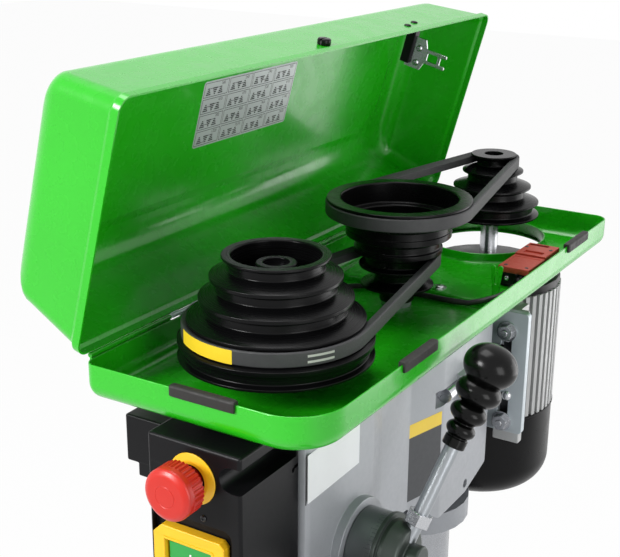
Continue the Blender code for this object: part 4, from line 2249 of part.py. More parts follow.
def make_interlock(riser_top):
    left, right = SWITCH_LEFT, SWITCH_RIGHT
    front, split, back = (SPINDLE_Y + y for y in (SWITCH_FRONT, SWITCH_SPLIT, SWITCH_BACK))
    top = RIM_HEIGHT + SWITCH_TOP
    floor = riser_top + FIT
    head = block("interlock_switch_head", (left, split, floor), (right, back, top), SWITCH_EDGE)
    cap_low = top - SWITCH_CAP_STEP - SWITCH_CAP
    cap = block(
        "switch_cap", (left, front, cap_low), (right, split + OVERRUN, top - SWITCH_CAP_STEP), SWITCH_EDGE
    )
    join(head, cap)
    slot_x = -TRAY_WIDTH / 2 - HINGE_OUTSET + KEY_U + KEY_SLOT_SHIFT
    slot_y = SPINDLE_Y + KEY_Y
    slot = block(
        "key_slot",
        (slot_x - KEY_SLOT_HALF_U, slot_y - KEY_SLOT_HALF_Y, RIM_HEIGHT + KEY_TIP),
        (slot_x + KEY_SLOT_HALF_U, slot_y + KEY_SLOT_HALF_Y, top + OVERRUN),
    )
    dress(cut(head, slot), "switch_red")

    inner = SHEET
    body = block(
        "interlock_switch_body",
        (left + inner, front + inner, floor),
        (right - inner, split - FIT, cap_low - FIT),
        SWITCH_EDGE,
    )
    gland_z = RIM_HEIGHT - GLAND_DROP
    gland_x = right - GLAND_INSET
    gland = rod(
        "switch_gland",
        GLAND_RADIUS,
        (gland_x, front + inner - GLAND_LENGTH, gland_z),
        (gland_x, front + inner + OVERRUN, gland_z),
        SMALL_STEPS,
    )
    dress(join(body, gland), "box_plastic")
    return Vector((gland_x, front + inner - GLAND_LENGTH - FIT, gland_z))


def smooth_route(points, spacing):
    """Evenly spaced points on a smooth curve through a route's own points."""
    samples = []
    count = len(points)
    fine = 24
    for index in range(count - 1):
        before = points[max(index - 1, 0)]
        start, end = points[index], points[index + 1]
        after = points[min(index + 2, count - 1)]
        for step in range(fine):
            t = step / fine
            samples.append(
                0.5
                * (
                    2 * start
                    + (end - before) * t
                    + (2 * before - 5 * start + 4 * end - after) * t * t
                    + (3 * start - before - 3 * end + after) * t * t * t
                )
            )
    samples.append(points[-1])
    route = [samples[0]]
    travelled = 0.0
    for start, end in zip(samples, samples[1:]):
        travelled += (end - start).length
        if travelled >= spacing:
            route.append(end)
            travelled = 0.0
    route[-1] = samples[-1]
    return route


def make_cable(exit_point):
    """The black cable from the lid switch to the side block of the switch box."""
    end = Vector((CABLE_BOX_X, SPINDLE_Y - HEAD_FRONT, RIM_HEIGHT - CABLE_BOX_DROP))
    route = [exit_point]
    route += [spindle_point(x, y, drop) for x, y, drop in CABLE_ROUTE]
    route += [end + Vector((0, CABLE_RADIUS * 4, 0)), end]
    curve = bpy.data.curves.new("interlock_cable", "CURVE")
    curve.dimensions = "3D"
    curve.bevel_depth = CABLE_RADIUS
    curve.bevel_resolution = 2
    curve.use_fill_caps = True
    spline = curve.splines.new("POLY")
    points = smooth_route(route, 5 * CABLE_RADIUS)
    spline.points.add(len(points) - 1)
    for point, place in zip(spline.points, points):
        point.co = (*place, 1)
    cable = bpy.data.objects.new("interlock_cable", curve)
    PARTS.objects.link(cable)
    return dress(cable, "cable_black")


def smooth_shading():
    for obj in PARTS.objects:
        if obj.type == "MESH":
            obj.data.shade_smooth()
            obj.data.set_sharp_from_angle(angle=math.radians(35))


def carry(group, point, names, holder=None):
    """Gathers the pieces of one moving body under an empty on its joint's axis."""
    empty = bpy.data.objects.new(group, None)
    PARTS.objects.link(empty)
    empty.location = point
    bpy.context.view_layer.update()
    for name in names:
        obj = bpy.data.objects[name]
        obj.parent = empty
        obj.matrix_parent_inverse = empty.matrix_world.inverted()
    if holder:
        empty.parent = holder
        empty.matrix_parent_inverse = holder.matrix_world.inverted()
    return empty


def main():
    clear_scene()
    make_materials()
    make_base()
    make_column()
    make_rack()
    make_table()
    make_bracket()
    crank_axis, grip_axis = make_crank()
    clamp_axis = make_clamp_lever()
    make_head()
    make_tray()
    riser_top = make_riser()
    make_bumpers()
    make_spindle_pulley()
    make_idler_pulley()
    make_motor_pulley()
    make_belts()
    make_motor()
    make_fan_cover()
    make_rotor()
    make_motor_mount()
    bar_knob_axis = make_bar_knob()
    make_quill()
    spindle_axis = make_spindle()
    feed_axis = make_feed()
    make_levers()
    ring_screw_root = make_depth_ring()
    make_switch_box()
    estop_axis = make_estop()
    make_buttons()
    make_lid()
    make_lid_fittings()
    hinge_axis = make_tray_hinges()
    cable_exit = make_interlock(riser_top)
    make_cable(cable_exit)
    smooth_shading()

    swing = carry("table_swing", (0, 0, BRACKET_Z), ("column_rack", "rack_ring"))
    lift = carry("table_lift", (0, 0, BRACKET_Z), ("table_bracket",), swing)
    carry("table_tilt", (0, -TILT_FACE, TILT_Z), ("table",), lift)
    crank = carry("table_crank_turn", crank_axis, ("table_crank",), lift)
    carry("crank_grip_spin", grip_axis, ("crank_grip",), crank)
    carry("table_clamp_turn", clamp_axis, ("table_clamp_lever",), lift)
    carry("spindle_pulley_spin", spindle_axis, ("spindle_pulley",))
    carry("idler_pulley_spin", (0, IDLER_Y, RIM_HEIGHT), ("idler_pulley",))
    mount_nodes = ("motor_plate", "slide_bar_left", "slide_bar_right", "motor_body")
    mount_nodes += ("motor_end_bell", "motor_fan_cover")
    mount = carry("motor_slide", (0, MOTOR_Y, RIM_HEIGHT), mount_nodes)
    rotor_nodes = ("motor_shaft", "motor_pulley", "motor_fan")
    carry("motor_spin", (0, MOTOR_Y, RIM_HEIGHT), rotor_nodes, mount)
    carry("slide_lock_turn", bar_knob_axis, ("slide_lock_knob",))
    quill = carry("quill_slide", spindle_axis, ("quill",))
    spindle = carry("spindle_spin", spindle_axis, ("spindle", "chuck_body"), quill)
    carry("chuck_sleeve_turn", spindle_axis, ("chuck_sleeve",), spindle)
    feed_nodes = ["feed_shaft", "feed_hub"]
    for number in range(LEVERS):
        feed_nodes += [f"feed_lever_{number + 1}", f"feed_grip_{number + 1}"]
    feed = carry("feed_turn", feed_axis, feed_nodes)
    ring = carry("depth_ring_turn", feed_axis, ("depth_ring",), feed)
    carry("depth_knob_turn", ring_screw_root, ("depth_ring_knob",), ring)
    carry("estop_press", estop_axis, ("estop_button",))
    for name, low, high in button_places():
        press = (0, SPINDLE_Y - BOX_FRONT, (low + high) / 2)
        carry(name.replace("button", "press"), press, (name,))
    carry("lid_hinge", hinge_axis, ("pulley_lid", "lid_knob", "interlock_key"))


main()
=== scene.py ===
"""The looks of a pillar drill press with its pulley lid open.

Metres, +Z up, +X to the operator's right, +Y to the back. point() gives a place on the head from the
spindle's axis and the rim of the belt tray, with heights upward. A corner is (x, y, radius) in an outline
and (distance from the axis, height, radius) in the profile of a turned piece.
"""

import json
import math

import bmesh
import bpy
from mathutils import Matrix, Vector


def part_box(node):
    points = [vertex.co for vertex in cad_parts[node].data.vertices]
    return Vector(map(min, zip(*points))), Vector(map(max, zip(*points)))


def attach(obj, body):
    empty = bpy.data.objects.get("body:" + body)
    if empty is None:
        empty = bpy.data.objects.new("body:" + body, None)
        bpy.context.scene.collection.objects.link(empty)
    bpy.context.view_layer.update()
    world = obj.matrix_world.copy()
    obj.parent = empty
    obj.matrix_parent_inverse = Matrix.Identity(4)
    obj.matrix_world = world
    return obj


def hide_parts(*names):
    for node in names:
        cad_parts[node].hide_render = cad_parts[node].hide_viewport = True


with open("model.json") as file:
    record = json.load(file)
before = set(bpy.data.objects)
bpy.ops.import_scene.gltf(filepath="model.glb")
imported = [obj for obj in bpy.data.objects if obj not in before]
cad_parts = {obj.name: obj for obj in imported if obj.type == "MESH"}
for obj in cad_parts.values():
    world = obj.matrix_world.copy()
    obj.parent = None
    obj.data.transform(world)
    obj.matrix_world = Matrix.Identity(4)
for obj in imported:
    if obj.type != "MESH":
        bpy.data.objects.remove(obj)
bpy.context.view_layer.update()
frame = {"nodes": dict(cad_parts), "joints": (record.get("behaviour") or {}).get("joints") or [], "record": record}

# Reference places, read from the frame
QUARTER = math.pi / 2
TURN = 2 * math.pi
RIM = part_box("pulley_tray")[1].z
SPINDLE_Y, IDLER_Y, MOTOR_Y = (
    sum(corner.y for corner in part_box(wheel + "_pulley")) / 2 for wheel in ("spindle", "idler", "motor")
)
JOINTS = {joint["name"]: joint for joint in frame["joints"]}
HINGE = Vector(JOINTS["lid_hinge"]["pos_m"])
FEED = Vector(JOINTS["feed_turn"]["pos_m"])

# Small sizes shared by many pieces; curves are filled enlarged, so that close corners stay apart
FIT = 0.0003
SHEET = 0.0015
HAIR = 0.00012
WELD = 0.000001
ENLARGED = 1000
NODE_EDGE = 0.0006
HERE = Matrix.Identity(4)
TO_FRONT = (0, -1, 0)

LOOKS = {}


def point(x, y, up):
    """A place on the head: x and y from the spindle's axis, up from the tray's rim."""
    return Vector((x, SPINDLE_Y + y, RIM + up))


def shift(x, y, z):
    return Matrix.Translation((x, y, z))


def linear(red, green, blue):
    """A colour read as 8-bit screen values, as a shader takes it."""
    shares = (value / 255 for value in (red, green, blue))
    return tuple(share / 12.92 if share <= 0.04045 else ((share + 0.055) / 1.055) ** 2.4 for share in shares)


def wire(tree, node, inputs):
    """Sets each input of a node, or links it where the value is another node's output."""
    for name, value in inputs.items():
        if isinstance(value, bpy.types.NodeSocket):
            tree.links.new(value, node.inputs[name])
        else:
            node.inputs[name].default_value = value
    return node


def new_node(tree, kind, inputs=None, **settings):
    node = tree.nodes.new("ShaderNode" + kind)
    for name, value in settings.items():
        setattr(node, name, value)
    return wire(tree, node, inputs or {})


class Look:
    """One procedural material: a Principled shader with texture drawn in the object's own metres."""

    def __init__(self, name, colour, roughness, metallic=0.0, coat=0.0):
        self.material = bpy.data.materials.new(name)
        self.material.use_nodes = True
        self.tree = self.material.node_tree
        self.shader = self.tree.nodes["Principled BSDF"]
        self.colour, self.roughness, self.normal = colour, roughness, None
        self.shade({"Base Color": (*colour, 1.0), "Roughness": roughness, "Metallic": metallic})
        self.shade({"Coat Weight": coat, "Coat Roughness": 0.08, "Specular IOR Level": 0.5})
        self.place = self.add("TexCoord").outputs["Object"]
        LOOKS[name] = self

    def shade(self, inputs):
        wire(self.tree, self.shader, inputs)

    def add(self, kind, inputs=None, **settings):
        return new_node(self.tree, kind, inputs, **settings)

    def stretched(self, scales):
        """The place with each axis scaled, so that a pattern runs along one of them."""
        return self.add("Mapping", {"Scale": scales, "Vector": self.place}).outputs["Vector"]

    def round_an_axis(self, centre, axis):
        """(radius, 0, height) about an axis of the machine, as a vector for turned surfaces."""
        across = tuple(int(name != axis) for name in "XYZ")
        along_it = tuple(1 - value for value in across)

        def vector(operation, *values):
            return self.add("VectorMath", dict(enumerate(values)), operation=operation).outputs

        shifted = vector("SUBTRACT", self.place, centre)[0]
        radius = vector("LENGTH", vector("MULTIPLY", shifted, across)[0])["Value"]
        height = vector("DOT_PRODUCT", shifted, along_it)["Value"]
        return self.add("CombineXYZ", {0: radius, 2: height}).outputs[0]

    def noise(self, scale, detail, vector=None):
        inputs = {"Scale": scale, "Detail": detail, "Vector": vector or self.place}
        return self.add("TexNoise", inputs).outputs["Fac"]

    def tint(self, source, darker, lighter):
        """Lets a pattern vary the base colour between two shares of it."""
        node = self.add("Mix", data_type="RGBA")
        low, high = ([min(channel * share, 1) for channel in self.colour] for share in (darker, lighter))
        wire(self.tree, node, {"A": (*low, 1), "B": (*high, 1), "Factor": source})
        self.shade({"Base Color": node.outputs["Result"]})

    def sheen_of(self, source, less, more):
        """Lets the middle range of a pattern vary the roughness between two shares of it."""
        inputs = {"From Min": 0.3, "From Max": 0.7, "Value": source}
        inputs |= {"To Min": self.roughness * less, "To Max": self.roughness * more}
        self.shade({"Roughness": self.add("MapRange", inputs).outputs["Result"]})

    def relief(self, source, depth, strength):
        """Raises a pattern on the surface; several reliefs add up."""
        inputs = {"Strength": strength, "Distance": depth, "Height": source}
        if self.normal:
            inputs["Normal"] = self.normal
        self.normal = self.add("Bump", inputs).outputs["Normal"]
        self.shade({"Normal": self.normal})


def enamel(name, colour, roughness, coat=0.25):
    """Sprayed enamel: a faint orange peel and slow drifts of tone."""
    look = Look(name, colour, roughness, coat=coat)
    look.tint(look.noise(9, 3), 0.93, 1.06)
    look.sheen_of(look.noise(60, 4), 0.85, 1.2)
    look.relief(look.noise(110, 1), 0.00004, 0.2)


def casting(name, colour, roughness, metallic, grain=420, depth=0.0003):
    """Painted or bare cast metal: a pebbled skin under its finish."""
    look = Look(name, colour, roughness, metallic, coat=0.08)
    look.tint(look.noise(14, 4), 0.90, 1.08)
    look.sheen_of(look.noise(170, 4), 0.8, 1.25)
    look.relief(look.noise(grain, 4), depth, 0.35)
    look.relief(look.noise(38, 2), depth * 3, 0.12)


def ground(name, colour, roughness, stretch, metallic=1.0):
    """Ground or drawn metal: fine scratches along one direction."""
    look = Look(name, colour, roughness, metallic)
    lines = look.noise(1.0, 3, look.stretched(stretch))
    look.tint(look.noise(22, 3), 0.90, 1.06)
    look.sheen_of(lines, 0.8, 1.3)
    look.relief(lines, 0.00001, 0.3)


def turned_metal(name, colour, roughness, centre, axis, metallic, lines=2600):
    """A surface finished on a lathe: fine rings round its axis."""
    look = Look(name, colour, roughness, metallic)
    rings = look.noise(lines, 3, look.round_an_axis(centre, axis))
    look.tint(look.noise(35, 3), 0.86, 1.12)
    look.sheen_of(rings, 0.75, 1.4)
    look.relief(rings, 0.00003, 0.45)
    return look


def plastic(name, colour, roughness, grain=0.0, coat=0.0):
    """Moulded plastic, with a spark-eroded grain where it is matt."""
    look = Look(name, colour, roughness, coat=coat)
    look.tint(look.noise(30, 2), 0.94, 1.05)
    look.sheen_of(look.noise(240, 3), 0.88, 1.15)
    if grain:
        look.relief(look.noise(1500, 2), grain, 0.5)


def belt_look():
    """Cloth-covered belt: a fine diagonal weave over dark rubber."""
    look = Look("belt_rubber", (0.030, 0.030, 0.032), 0.62)
    weave = look.noise(1.0, 1, look.stretched((2600, 2600, 600)))
    cross = look.noise(1.0, 1, look.stretched((700, 700, 2600)))
    look.tint(look.noise(120, 3), 0.75, 1.35)
    look.sheen_of(cross, 0.8, 1.15)
    look.relief(weave, 0.00012, 0.4)
    look.relief(cross, 0.00010, 0.4)


def make_looks():
    enamel("green_paint", linear(34, 182, 18), 0.26)
    enamel("black_paint", (0.003, 0.003, 0.0034), 0.30, 0.04)
    casting("head_paint", linear(160, 163, 168), 0.40, 0.20)
    casting("cast_iron", linear(150, 153, 158), 0.44, 0.30)
    casting("aluminium_frame", linear(178, 179, 179), 0.42, 0.25, 500, 0.0002)
    ground("ground_iron", (0.38, 0.39, 0.41), 0.38, (900, 30, 30), 0.8)
    ground("bright_steel", (0.50, 0.51, 0.53), 0.22, (300, 900, 900))
    ground("zinc_plate", (0.48, 0.53, 0.56), 0.36, (90, 90, 700), 0.55)
    ground("chart_silver", linear(205, 208, 210), 0.42, (700, 60, 700), 0.35)
    turned_metal("dark_steel", (0.14, 0.155, 0.155), 0.34, FEED, "X", 0.9)
    turned_metal("hub_steel", (0.050, 0.062, 0.055), 0.36, FEED, "X", 0.55)
    turned_metal("column_steel", (0.36, 0.37, 0.39), 0.27, (0, 0, 0), "Z", 0.95, 900)
    pulley = turned_metal("black_pulley", (0.003, 0.003, 0.0033), 0.23, point(0, 0, 0), "Z", 0.0, 1800)
    pulley.relief(pulley.noise(900, 3), 0.00003, 0.3)
    lever = Look("lever_steel", (0.33, 0.35, 0.37), 0.33, 0.95)
    lever.sheen_of(lever.noise(90, 3), 0.8, 1.25)
    belt_look()
    plastic("box_plastic", linear(15, 15, 17), 0.34, 0.00004)
    plastic("gloss_black", (0.002, 0.002, 0.002), 0.22)
    plastic("red_button", linear(196, 34, 20), 0.36, 0.00003)
    plastic("green_button", linear(30, 150, 60), 0.34, 0.00003, 0.1)
    plastic("yellow_plastic", linear(240, 186, 24), 0.38, 0.00003)
    plastic("switch_red", linear(186, 70, 50), 0.50, 0.00005)
    plastic("bumper_rubber", (0.008, 0.007, 0.006), 0.62, 0.00006)
    plastic("cable_black", (0.010, 0.010, 0.010), 0.50, 0.00004)
    # Dark screws, and also the painted shadow on the motor plate's rear
    plastic("dark_screw_and_painted_shadow", (0.012, 0.012, 0.013), 0.35)
    plastic("seam", (0.002, 0.002, 0.002), 0.8)
    plastic("mark_white", linear(235, 235, 230), 0.5)
    plastic("ink", (0.004, 0.004, 0.004), 0.6)
    plastic("plate_white", linear(236, 238, 240), 0.40)
    plastic("panel_yellow", linear(243, 208, 70), 0.45)
    plastic("panel_dark", linear(52, 54, 58), 0.42)
    plastic("band_yellow", linear(240, 205, 40), 0.5)
    plastic("mark_grey", linear(190, 190, 185), 0.5)
    levels = {"black_pulley": 0.14, "black_paint": 0.12, "box_plastic": 0.16, "gloss_black": 0.18, "hub_steel": 0.4}
    for name, level in levels.items():
        LOOKS[name].shade({"Specular IOR Level": level})


def arc(centre, radius, start, end, steps):
    turns = [start + (end - start) / steps * step for step in range(steps + 1)]
    return [(centre[0] + radius * math.cos(turn), centre[1] + radius * math.sin(turn)) for turn in turns]


def circle(radius, sides, first=0.0):
    return arc((0, 0), radius, first, first + TURN * (sides - 1) / sides, sides - 1)


def toothed(count, tooth):
    """An outline of equal teeth, each with its corners as (share of the pitch, radius)."""
    corners = [(TURN * (number + share) / count, radius) for number in range(count) for share, radius in tooth]
    return [(radius * math.cos(turn), radius * math.sin(turn)) for turn, radius in corners]


def rounded(corners, steps=4, closed=True):
    """An outline from corners, each rounded by an arc."""
    count = len(corners)
    outline = []
    for index, (x, y, radius) in enumerate(corners):
        if not radius or (not closed and index in (0, count - 1)):
            outline.append((x, y))
            continue
        here = Vector((x, y))
        before = Vector(corners[index - 1][:2]) - here
        after = Vector(corners[(index + 1) % count][:2]) - here
        half_angle = before.angle(after) / 2
        reach = min(radius / math.tan(half_angle), before.length * 0.49, after.length * 0.49)
        radius = reach * math.tan(half_angle)
        before.normalize()
        after.normalize()
        if (before + after).length < WELD:
            outline.append((x, y))
            continue
        centre = here + (before + after).normalized() * radius / math.sin(half_angle)
        first, last = here + before * reach - centre, here + after * reach - centre
        start = math.atan2(first.y, first.x)
        sweep = (math.atan2(last.y, last.x) - start + math.pi) % TURN - math.pi
        outline += arc(centre, radius, start, start + sweep, steps)
    return outline


def rounded_box(left, right, front, back, radii, steps=8):
    """A rectangle's outline; radii is one for all, or rear right, rear left, front left and front right."""
    radii = radii if isinstance(radii, tuple) else (radii,) * 4
    corners = ((right, back), (left, back), (left, front), (right, front))
    return rounded([(x, y, radius) for (x, y), radius in zip(corners, radii)], steps)


def obround(centre, half_run, radius, steps):
    """A slot along y."""
    x, y = centre
    rear = arc((x, y + half_run), radius, 0, math.pi, steps)
    return rear + arc((x, y - half_run), radius, math.pi, TURN, steps)


def along(direction, start):
    """The matrix that takes +Z to a direction and the origin to start."""
    return Matrix.Translation(start) @ Vector(direction).to_track_quat("Z", "Y").to_matrix().to_4x4()


def facing(axis, at):
    """Local XY becomes the plane across an axis: YZ for X, XZ for Y."""
    rows = {"X": ((0, 0, 1), (1, 0, 0), (0, 1, 0)), "Y": ((1, 0, 0), (0, 0, -1), (0, 1, 0))}
    return Matrix.Translation(at) @ Matrix(rows[axis]).to_4x4()


def linked(name, data):
    obj = bpy.data.objects.new(name, data)
    bpy.context.scene.collection.objects.link(obj)
    return obj


def as_object(name, bm):
    mesh = bpy.data.meshes.new(name)
    bm.to_mesh(mesh)
    bm.free()
    return linked(name, mesh)


def solid(name, bm):
    bmesh.ops.recalc_face_normals(bm, faces=bm.faces)
    return as_object(name, bm)


def moved(obj, place):
    obj.data.transform(place)
    return obj


def lathe(name, profile, place, steps=96, closed=False):
    """Turns a profile of (radius, height) points about the local Z axis of a place."""
    bm = bmesh.new()
    verts = [bm.verts.new((radius, 0, height)) for radius, height in profile]
    edges = [bm.edges.new(pair) for pair in zip(verts, verts[1:])]
    if closed:
        edges.append(bm.edges.new((verts[-1], verts[0])))
    axis = {"cent": (0, 0, 0), "axis": (0, 0, 1), "angle": TURN}
    bmesh.ops.spin(bm, geom=verts + edges, steps=steps, use_merge=True, **axis)
    bmesh.ops.remove_doubles(bm, verts=bm.verts, dist=WELD)
    bm.transform(place)
    return solid(name, bm)


def drill(radius, low, high, place=HERE, steps=32):
    """A plain cylinder from low to high, to cut with."""
    return lathe("drill", ((0, low), (radius, low), (radius, high), (0, high)), place, steps)


def block(name, low, high, edge=0.0005, segments=3):
    """A box with rounded edges."""
    low, high = Vector(low), Vector(high)
    bm = bmesh.new()
    bmesh.ops.create_cube(bm, size=1)
    bmesh.ops.transform(bm, matrix=Matrix.Diagonal((*(high - low), 1)), verts=bm.verts)
    if edge:
        bmesh.ops.bevel(bm, geom=bm.edges, offset=edge, segments=segments, profile=0.5, affect="EDGES")
    bmesh.ops.translate(bm, vec=(low + high) / 2, verts=bm.verts)
    return solid(name, bm)


def bridge(bm, loops, steps):
    """Faces between neighbouring loops, over the given number of steps along each."""
    size = len(loops[0])
    for lower, upper in zip(loops, loops[1:]):
        for index in range(steps):
            following = (index + 1) % size
            bm.faces.new((lower[index], lower[following], upper[following], upper[index]))


def skin(name, loops, close_first=True, close_last=True):
    """A mesh over a stack of loops with equally many points."""
    bm = bmesh.new()
    loops = [[bm.verts.new(corner) for corner in loop] for loop in loops]
    bridge(bm, loops, len(loops[0]))
    for loop, closes in ((loops[0], close_first), (loops[-1], close_last)):
        if closes:
            bm.faces.new(loop)
    return solid(name, bm)


def loft(name, rings, close_first=True, close_last=True):
    """A skin over outlines at their heights."""
    return skin(name, [[(x, y, z) for x, y in outline] for outline, z in rings], close_first, close_last)


def applied(obj):
    """The object with its modifiers made part of its mesh."""
    bpy.context.view_layer.update()
    graph = bpy.context.evaluated_depsgraph_get()
    mesh = bpy.data.meshes.new_from_object(obj.evaluated_get(graph))
    name = obj.name
    mesh.transform(obj.matrix_world)
    bpy.data.objects.remove(obj)
    mesh.name = name
    return linked(name, mesh)


def slab(name, outline, thickness, place, holes=(), edge=0.0, segments=3):
    """A flat outline with any holes, thickened about its plane, with rounded edges."""
    curve = bpy.data.curves.new(name, "CURVE")
    curve.dimensions = "2D"
    curve.fill_mode = "BOTH"
    curve.extrude = thickness * ENLARGED / 2
    for loop in (outline, *holes):
        spline = curve.splines.new("POLY")
        spline.points.add(len(loop) - 1)
        for corner, (x, y) in zip(spline.points, loop):
            corner.co = (x * ENLARGED, y * ENLARGED, 0, 1)
        spline.use_cyclic_u = True
    guide = linked(name, curve)
    guide.matrix_world = place @ Matrix.Scale(1 / ENLARGED, 4)
    made = applied(guide)
    bm = bmesh.new()
    bm.from_mesh(made.data)
    bmesh.ops.remove_doubles(bm, verts=bm.verts, dist=WELD)
    bmesh.ops.recalc_face_normals(bm, faces=bm.faces)
    if edge:
        turning = [e for e in bm.edges if len(e.link_faces) == 2 and e.calc_face_angle() > 1.2]
        bmesh.ops.bevel(bm, geom=turning, offset=edge, segments=segments, profile=0.5, affect="EDGES")
    bm.to_mesh(made.data)
    bm.free()
    return made


def combined(operation, target, *others):
    """Cuts other pieces from the target, joins them to it, or keeps what they share."""
    for other in others:
        modifier = target.modifiers.new("combine", "BOOLEAN")
        modifier.operation = operation
        modifier.solver = "EXACT"
        modifier.object = other
    made = applied(target)
    for other in others:
        bpy.data.objects.remove(other)
    return made


def cut(target, *others):
    return combined("DIFFERENCE", target, *others)


def join(target, *others):
    return combined("UNION", target, *others)


def thickened(obj, even=False):
    """A skin made into sheet, inwards."""
    modifier = obj.modifiers.new("sheet", "SOLIDIFY")
    modifier.thickness = SHEET
    modifier.offset = -1
    modifier.use_even_offset = even
    return applied(obj)


def bevelled(obj, width, degrees, segments=2, clamp=False):
    """Rounds the edges that turn by more than an angle."""
    modifier = obj.modifiers.new("edges", "BEVEL")
    modifier.width = width
    modifier.segments = segments
    modifier.limit_method = "ANGLE"
    modifier.angle_limit = math.radians(degrees)
    modifier.use_clamp_overlap = clamp
    return obj


def wear(obj, look):
    obj.data.materials.clear()
    obj.data.materials.append(LOOKS[look].material)


def finish(obj, look, body, *nodes):
    """Gives a piece its look and its body, and hides the nodes that it stands for."""
    obj.data.shade_smooth()
    obj.data.set_sharp_from_angle(angle=math.radians(38))
    obj.modifiers.new("normals", "WEIGHTED_NORMAL").keep_sharp = True
    wear(obj, look)
    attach(obj, body)
    if nodes:
        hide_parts(*nodes)
    return obj


def turned(name, corners, place, look, body, *nodes, steps=48, soft=4, closed=False):
    """A piece turned from rounded corners, on a body."""
    return finish(lathe(name, rounded(corners, soft, closed), place, steps, closed), look, body, *nodes)


def pin(radius, start, end, edge, foot_edge=0):
    """The corners of a cylinder."""
    return ((0, start, 0), (radius, start, foot_edge), (radius, end, edge), (0, end, 0))


def dress_nodes():
    """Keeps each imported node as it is, with rounded edges, smooth curves and a look."""
    slots = {part["node"]: part["material_slot"] for part in frame["record"]["subparts"]}
    for node, obj in frame["nodes"].items():
        obj.modifiers.new("weld", "WELD").merge_threshold = WELD
        bevelled(obj, NODE_EDGE, 35, 3)
        obj.data.shade_smooth()
        obj.modifiers.new("normals", "WEIGHTED_NORMAL")
        wear(obj, slots[node])


# Stepped pulleys: flange radii from the top, and the outside radius of a belt in each groove
BELT_WIDTH = 0.013
BELT_THICKNESS = 0.008
BELT_SLOPE = math.tan(math.radians(20))
BELT_SIDE_GAP = 0.0005
BELT_SEAT = BELT_THICKNESS + 0.0018
SPINDLE_FLANGES = (0.0430, 0.0525, 0.0614, 0.0710, 0.0784, 0.0784)
SPINDLE_BELTS = (0.0478, 0.0570, 0.0662, 0.0750, 0.0835)
SPINDLE_TOP_GROOVE = 0.0683
SPINDLE_PITCH = 0.0170
IDLER_FLANGES = (0.0665, 0.0575, 0.0490, 0.0410, 0.0360, 0.0340)
IDLER_BELTS = (0.0678, 0.0580, 0.0490, 0.0400, 0.0310)
IDLER_TOP_GROOVE = 0.0660
MOTOR_FLANGES = (0.0238, 0.0320, 0.0410, 0.0500, 0.0507)
MOTOR_BELTS = (0.0270, 0.0360, 0.0450, 0.0540)
MOTOR_PITCH = 0.0165
LOWER_BELT_GROOVE = 3
LOWER_BELT_LEVEL = SPINDLE_TOP_GROOVE - LOWER_BELT_GROOVE * SPINDLE_PITCH
FLANGE_EDGE = 0.0022
LIP_ROUNDING = 0.0007
ROOT_ROUNDING = 0.0012
CUP_ROUNDING = 0.0015


def pulley_side(flanges, belts, top_groove, pitch):
    """A stepped V pulley's outer side from its top, as corners."""
    half_top = BELT_WIDTH / 2 + BELT_SIDE_GAP
    half_root = half_top - BELT_SEAT * BELT_SLOPE
    side = []
    for index, (belt, upper, lower) in enumerate(zip(belts, flanges, flanges[1:])):
        centre = top_groove - index * pitch
        start = centre + half_top - (belt - upper) * BELT_SLOPE
        if not index:
            side.append((upper, start + FLANGE_EDGE, LIP_ROUNDING))
        side += [
            (upper, start, LIP_ROUNDING),
            (belt - BELT_SEAT, centre + half_root, ROOT_ROUNDING),
            (belt - BELT_SEAT, centre - half_root, ROOT_ROUNDING),
            (lower, centre - half_top + (belt - lower) * BELT_SLOPE, LIP_ROUNDING),
        ]
    return side + [(flanges[-1], side[-1][1] - FLANGE_EDGE, LIP_ROUNDING)]


def make_pulley(wheel, body, y, side, sleeve, bore, hub_top, inside, steps=128):
    """The stepped side, the sleeve below it, the bore, and the corners of the cup inside."""
    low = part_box(wheel + "_pulley")[0].z - RIM
    foot = [(sleeve, side[-1][1], LIP_ROUNDING), (sleeve, low, LIP_ROUNDING), (bore, low, 0)]
    corners = side + foot + [(bore, hub_top, LIP_ROUNDING), *inside]
    name = wheel + "_cone_pulley"
    turned(name, corners, shift(0, y, RIM), "black_pulley", body, wheel + "_pulley", steps=steps, closed=True)


def make_pulleys():
    side = pulley_side(SPINDLE_FLANGES, SPINDLE_BELTS, SPINDLE_TOP_GROOVE, SPINDLE_PITCH)
    hub, hub_top, floor, cup, soft = 0.0165, 0.069, 0.046, 0.0355, CUP_ROUNDING
    inside = ((hub, hub_top, soft), (hub, floor, soft), (cup - SHEET, floor, 2 * soft), (cup, side[0][1], soft))
    make_pulley("spindle", "spindle_drive", SPINDLE_Y, side, 0.017, 0.0103, hub_top, inside)

    pitch = (IDLER_TOP_GROOVE - LOWER_BELT_LEVEL) / LOWER_BELT_GROOVE
    side = pulley_side(IDLER_FLANGES, IDLER_BELTS, IDLER_TOP_GROOVE, pitch)
    hub, hub_top, floor, cup = 0.016, 0.036, 0.026, 0.0538
    first, first_radius, second, second_radius = 0.042, 0.0335, 0.055, 0.0440
    inside = [(hub, hub_top), (hub, floor), (first_radius - BELT_THICKNESS, floor), (first_radius, first)]
    inside += [(second_radius, first), (second_radius, second), (cup - SHEET, second), (cup, side[0][1])]
    inside = [(*corner, soft) for corner in inside]
    make_pulley("idler", "idler", IDLER_Y, side, hub, 0.0088, hub_top, inside)

    side = pulley_side(MOTOR_FLANGES, MOTOR_BELTS, IDLER_TOP_GROOVE, MOTOR_PITCH)
    make_pulley("motor", "rotor", MOTOR_Y, side, 0.0165, 0.0098, side[0][1], (), 112)


def belt_line(first, first_radius, second, second_radius, steps=64):
    """A belt's closed line round two wheels on a line along Y."""
    lean = math.asin((first_radius - second_radius) / (second - first))
    near = arc((0, first), first_radius, math.pi - lean, TURN + lean, steps)
    return near + arc((0, second), second_radius, lean, math.pi - lean, steps)


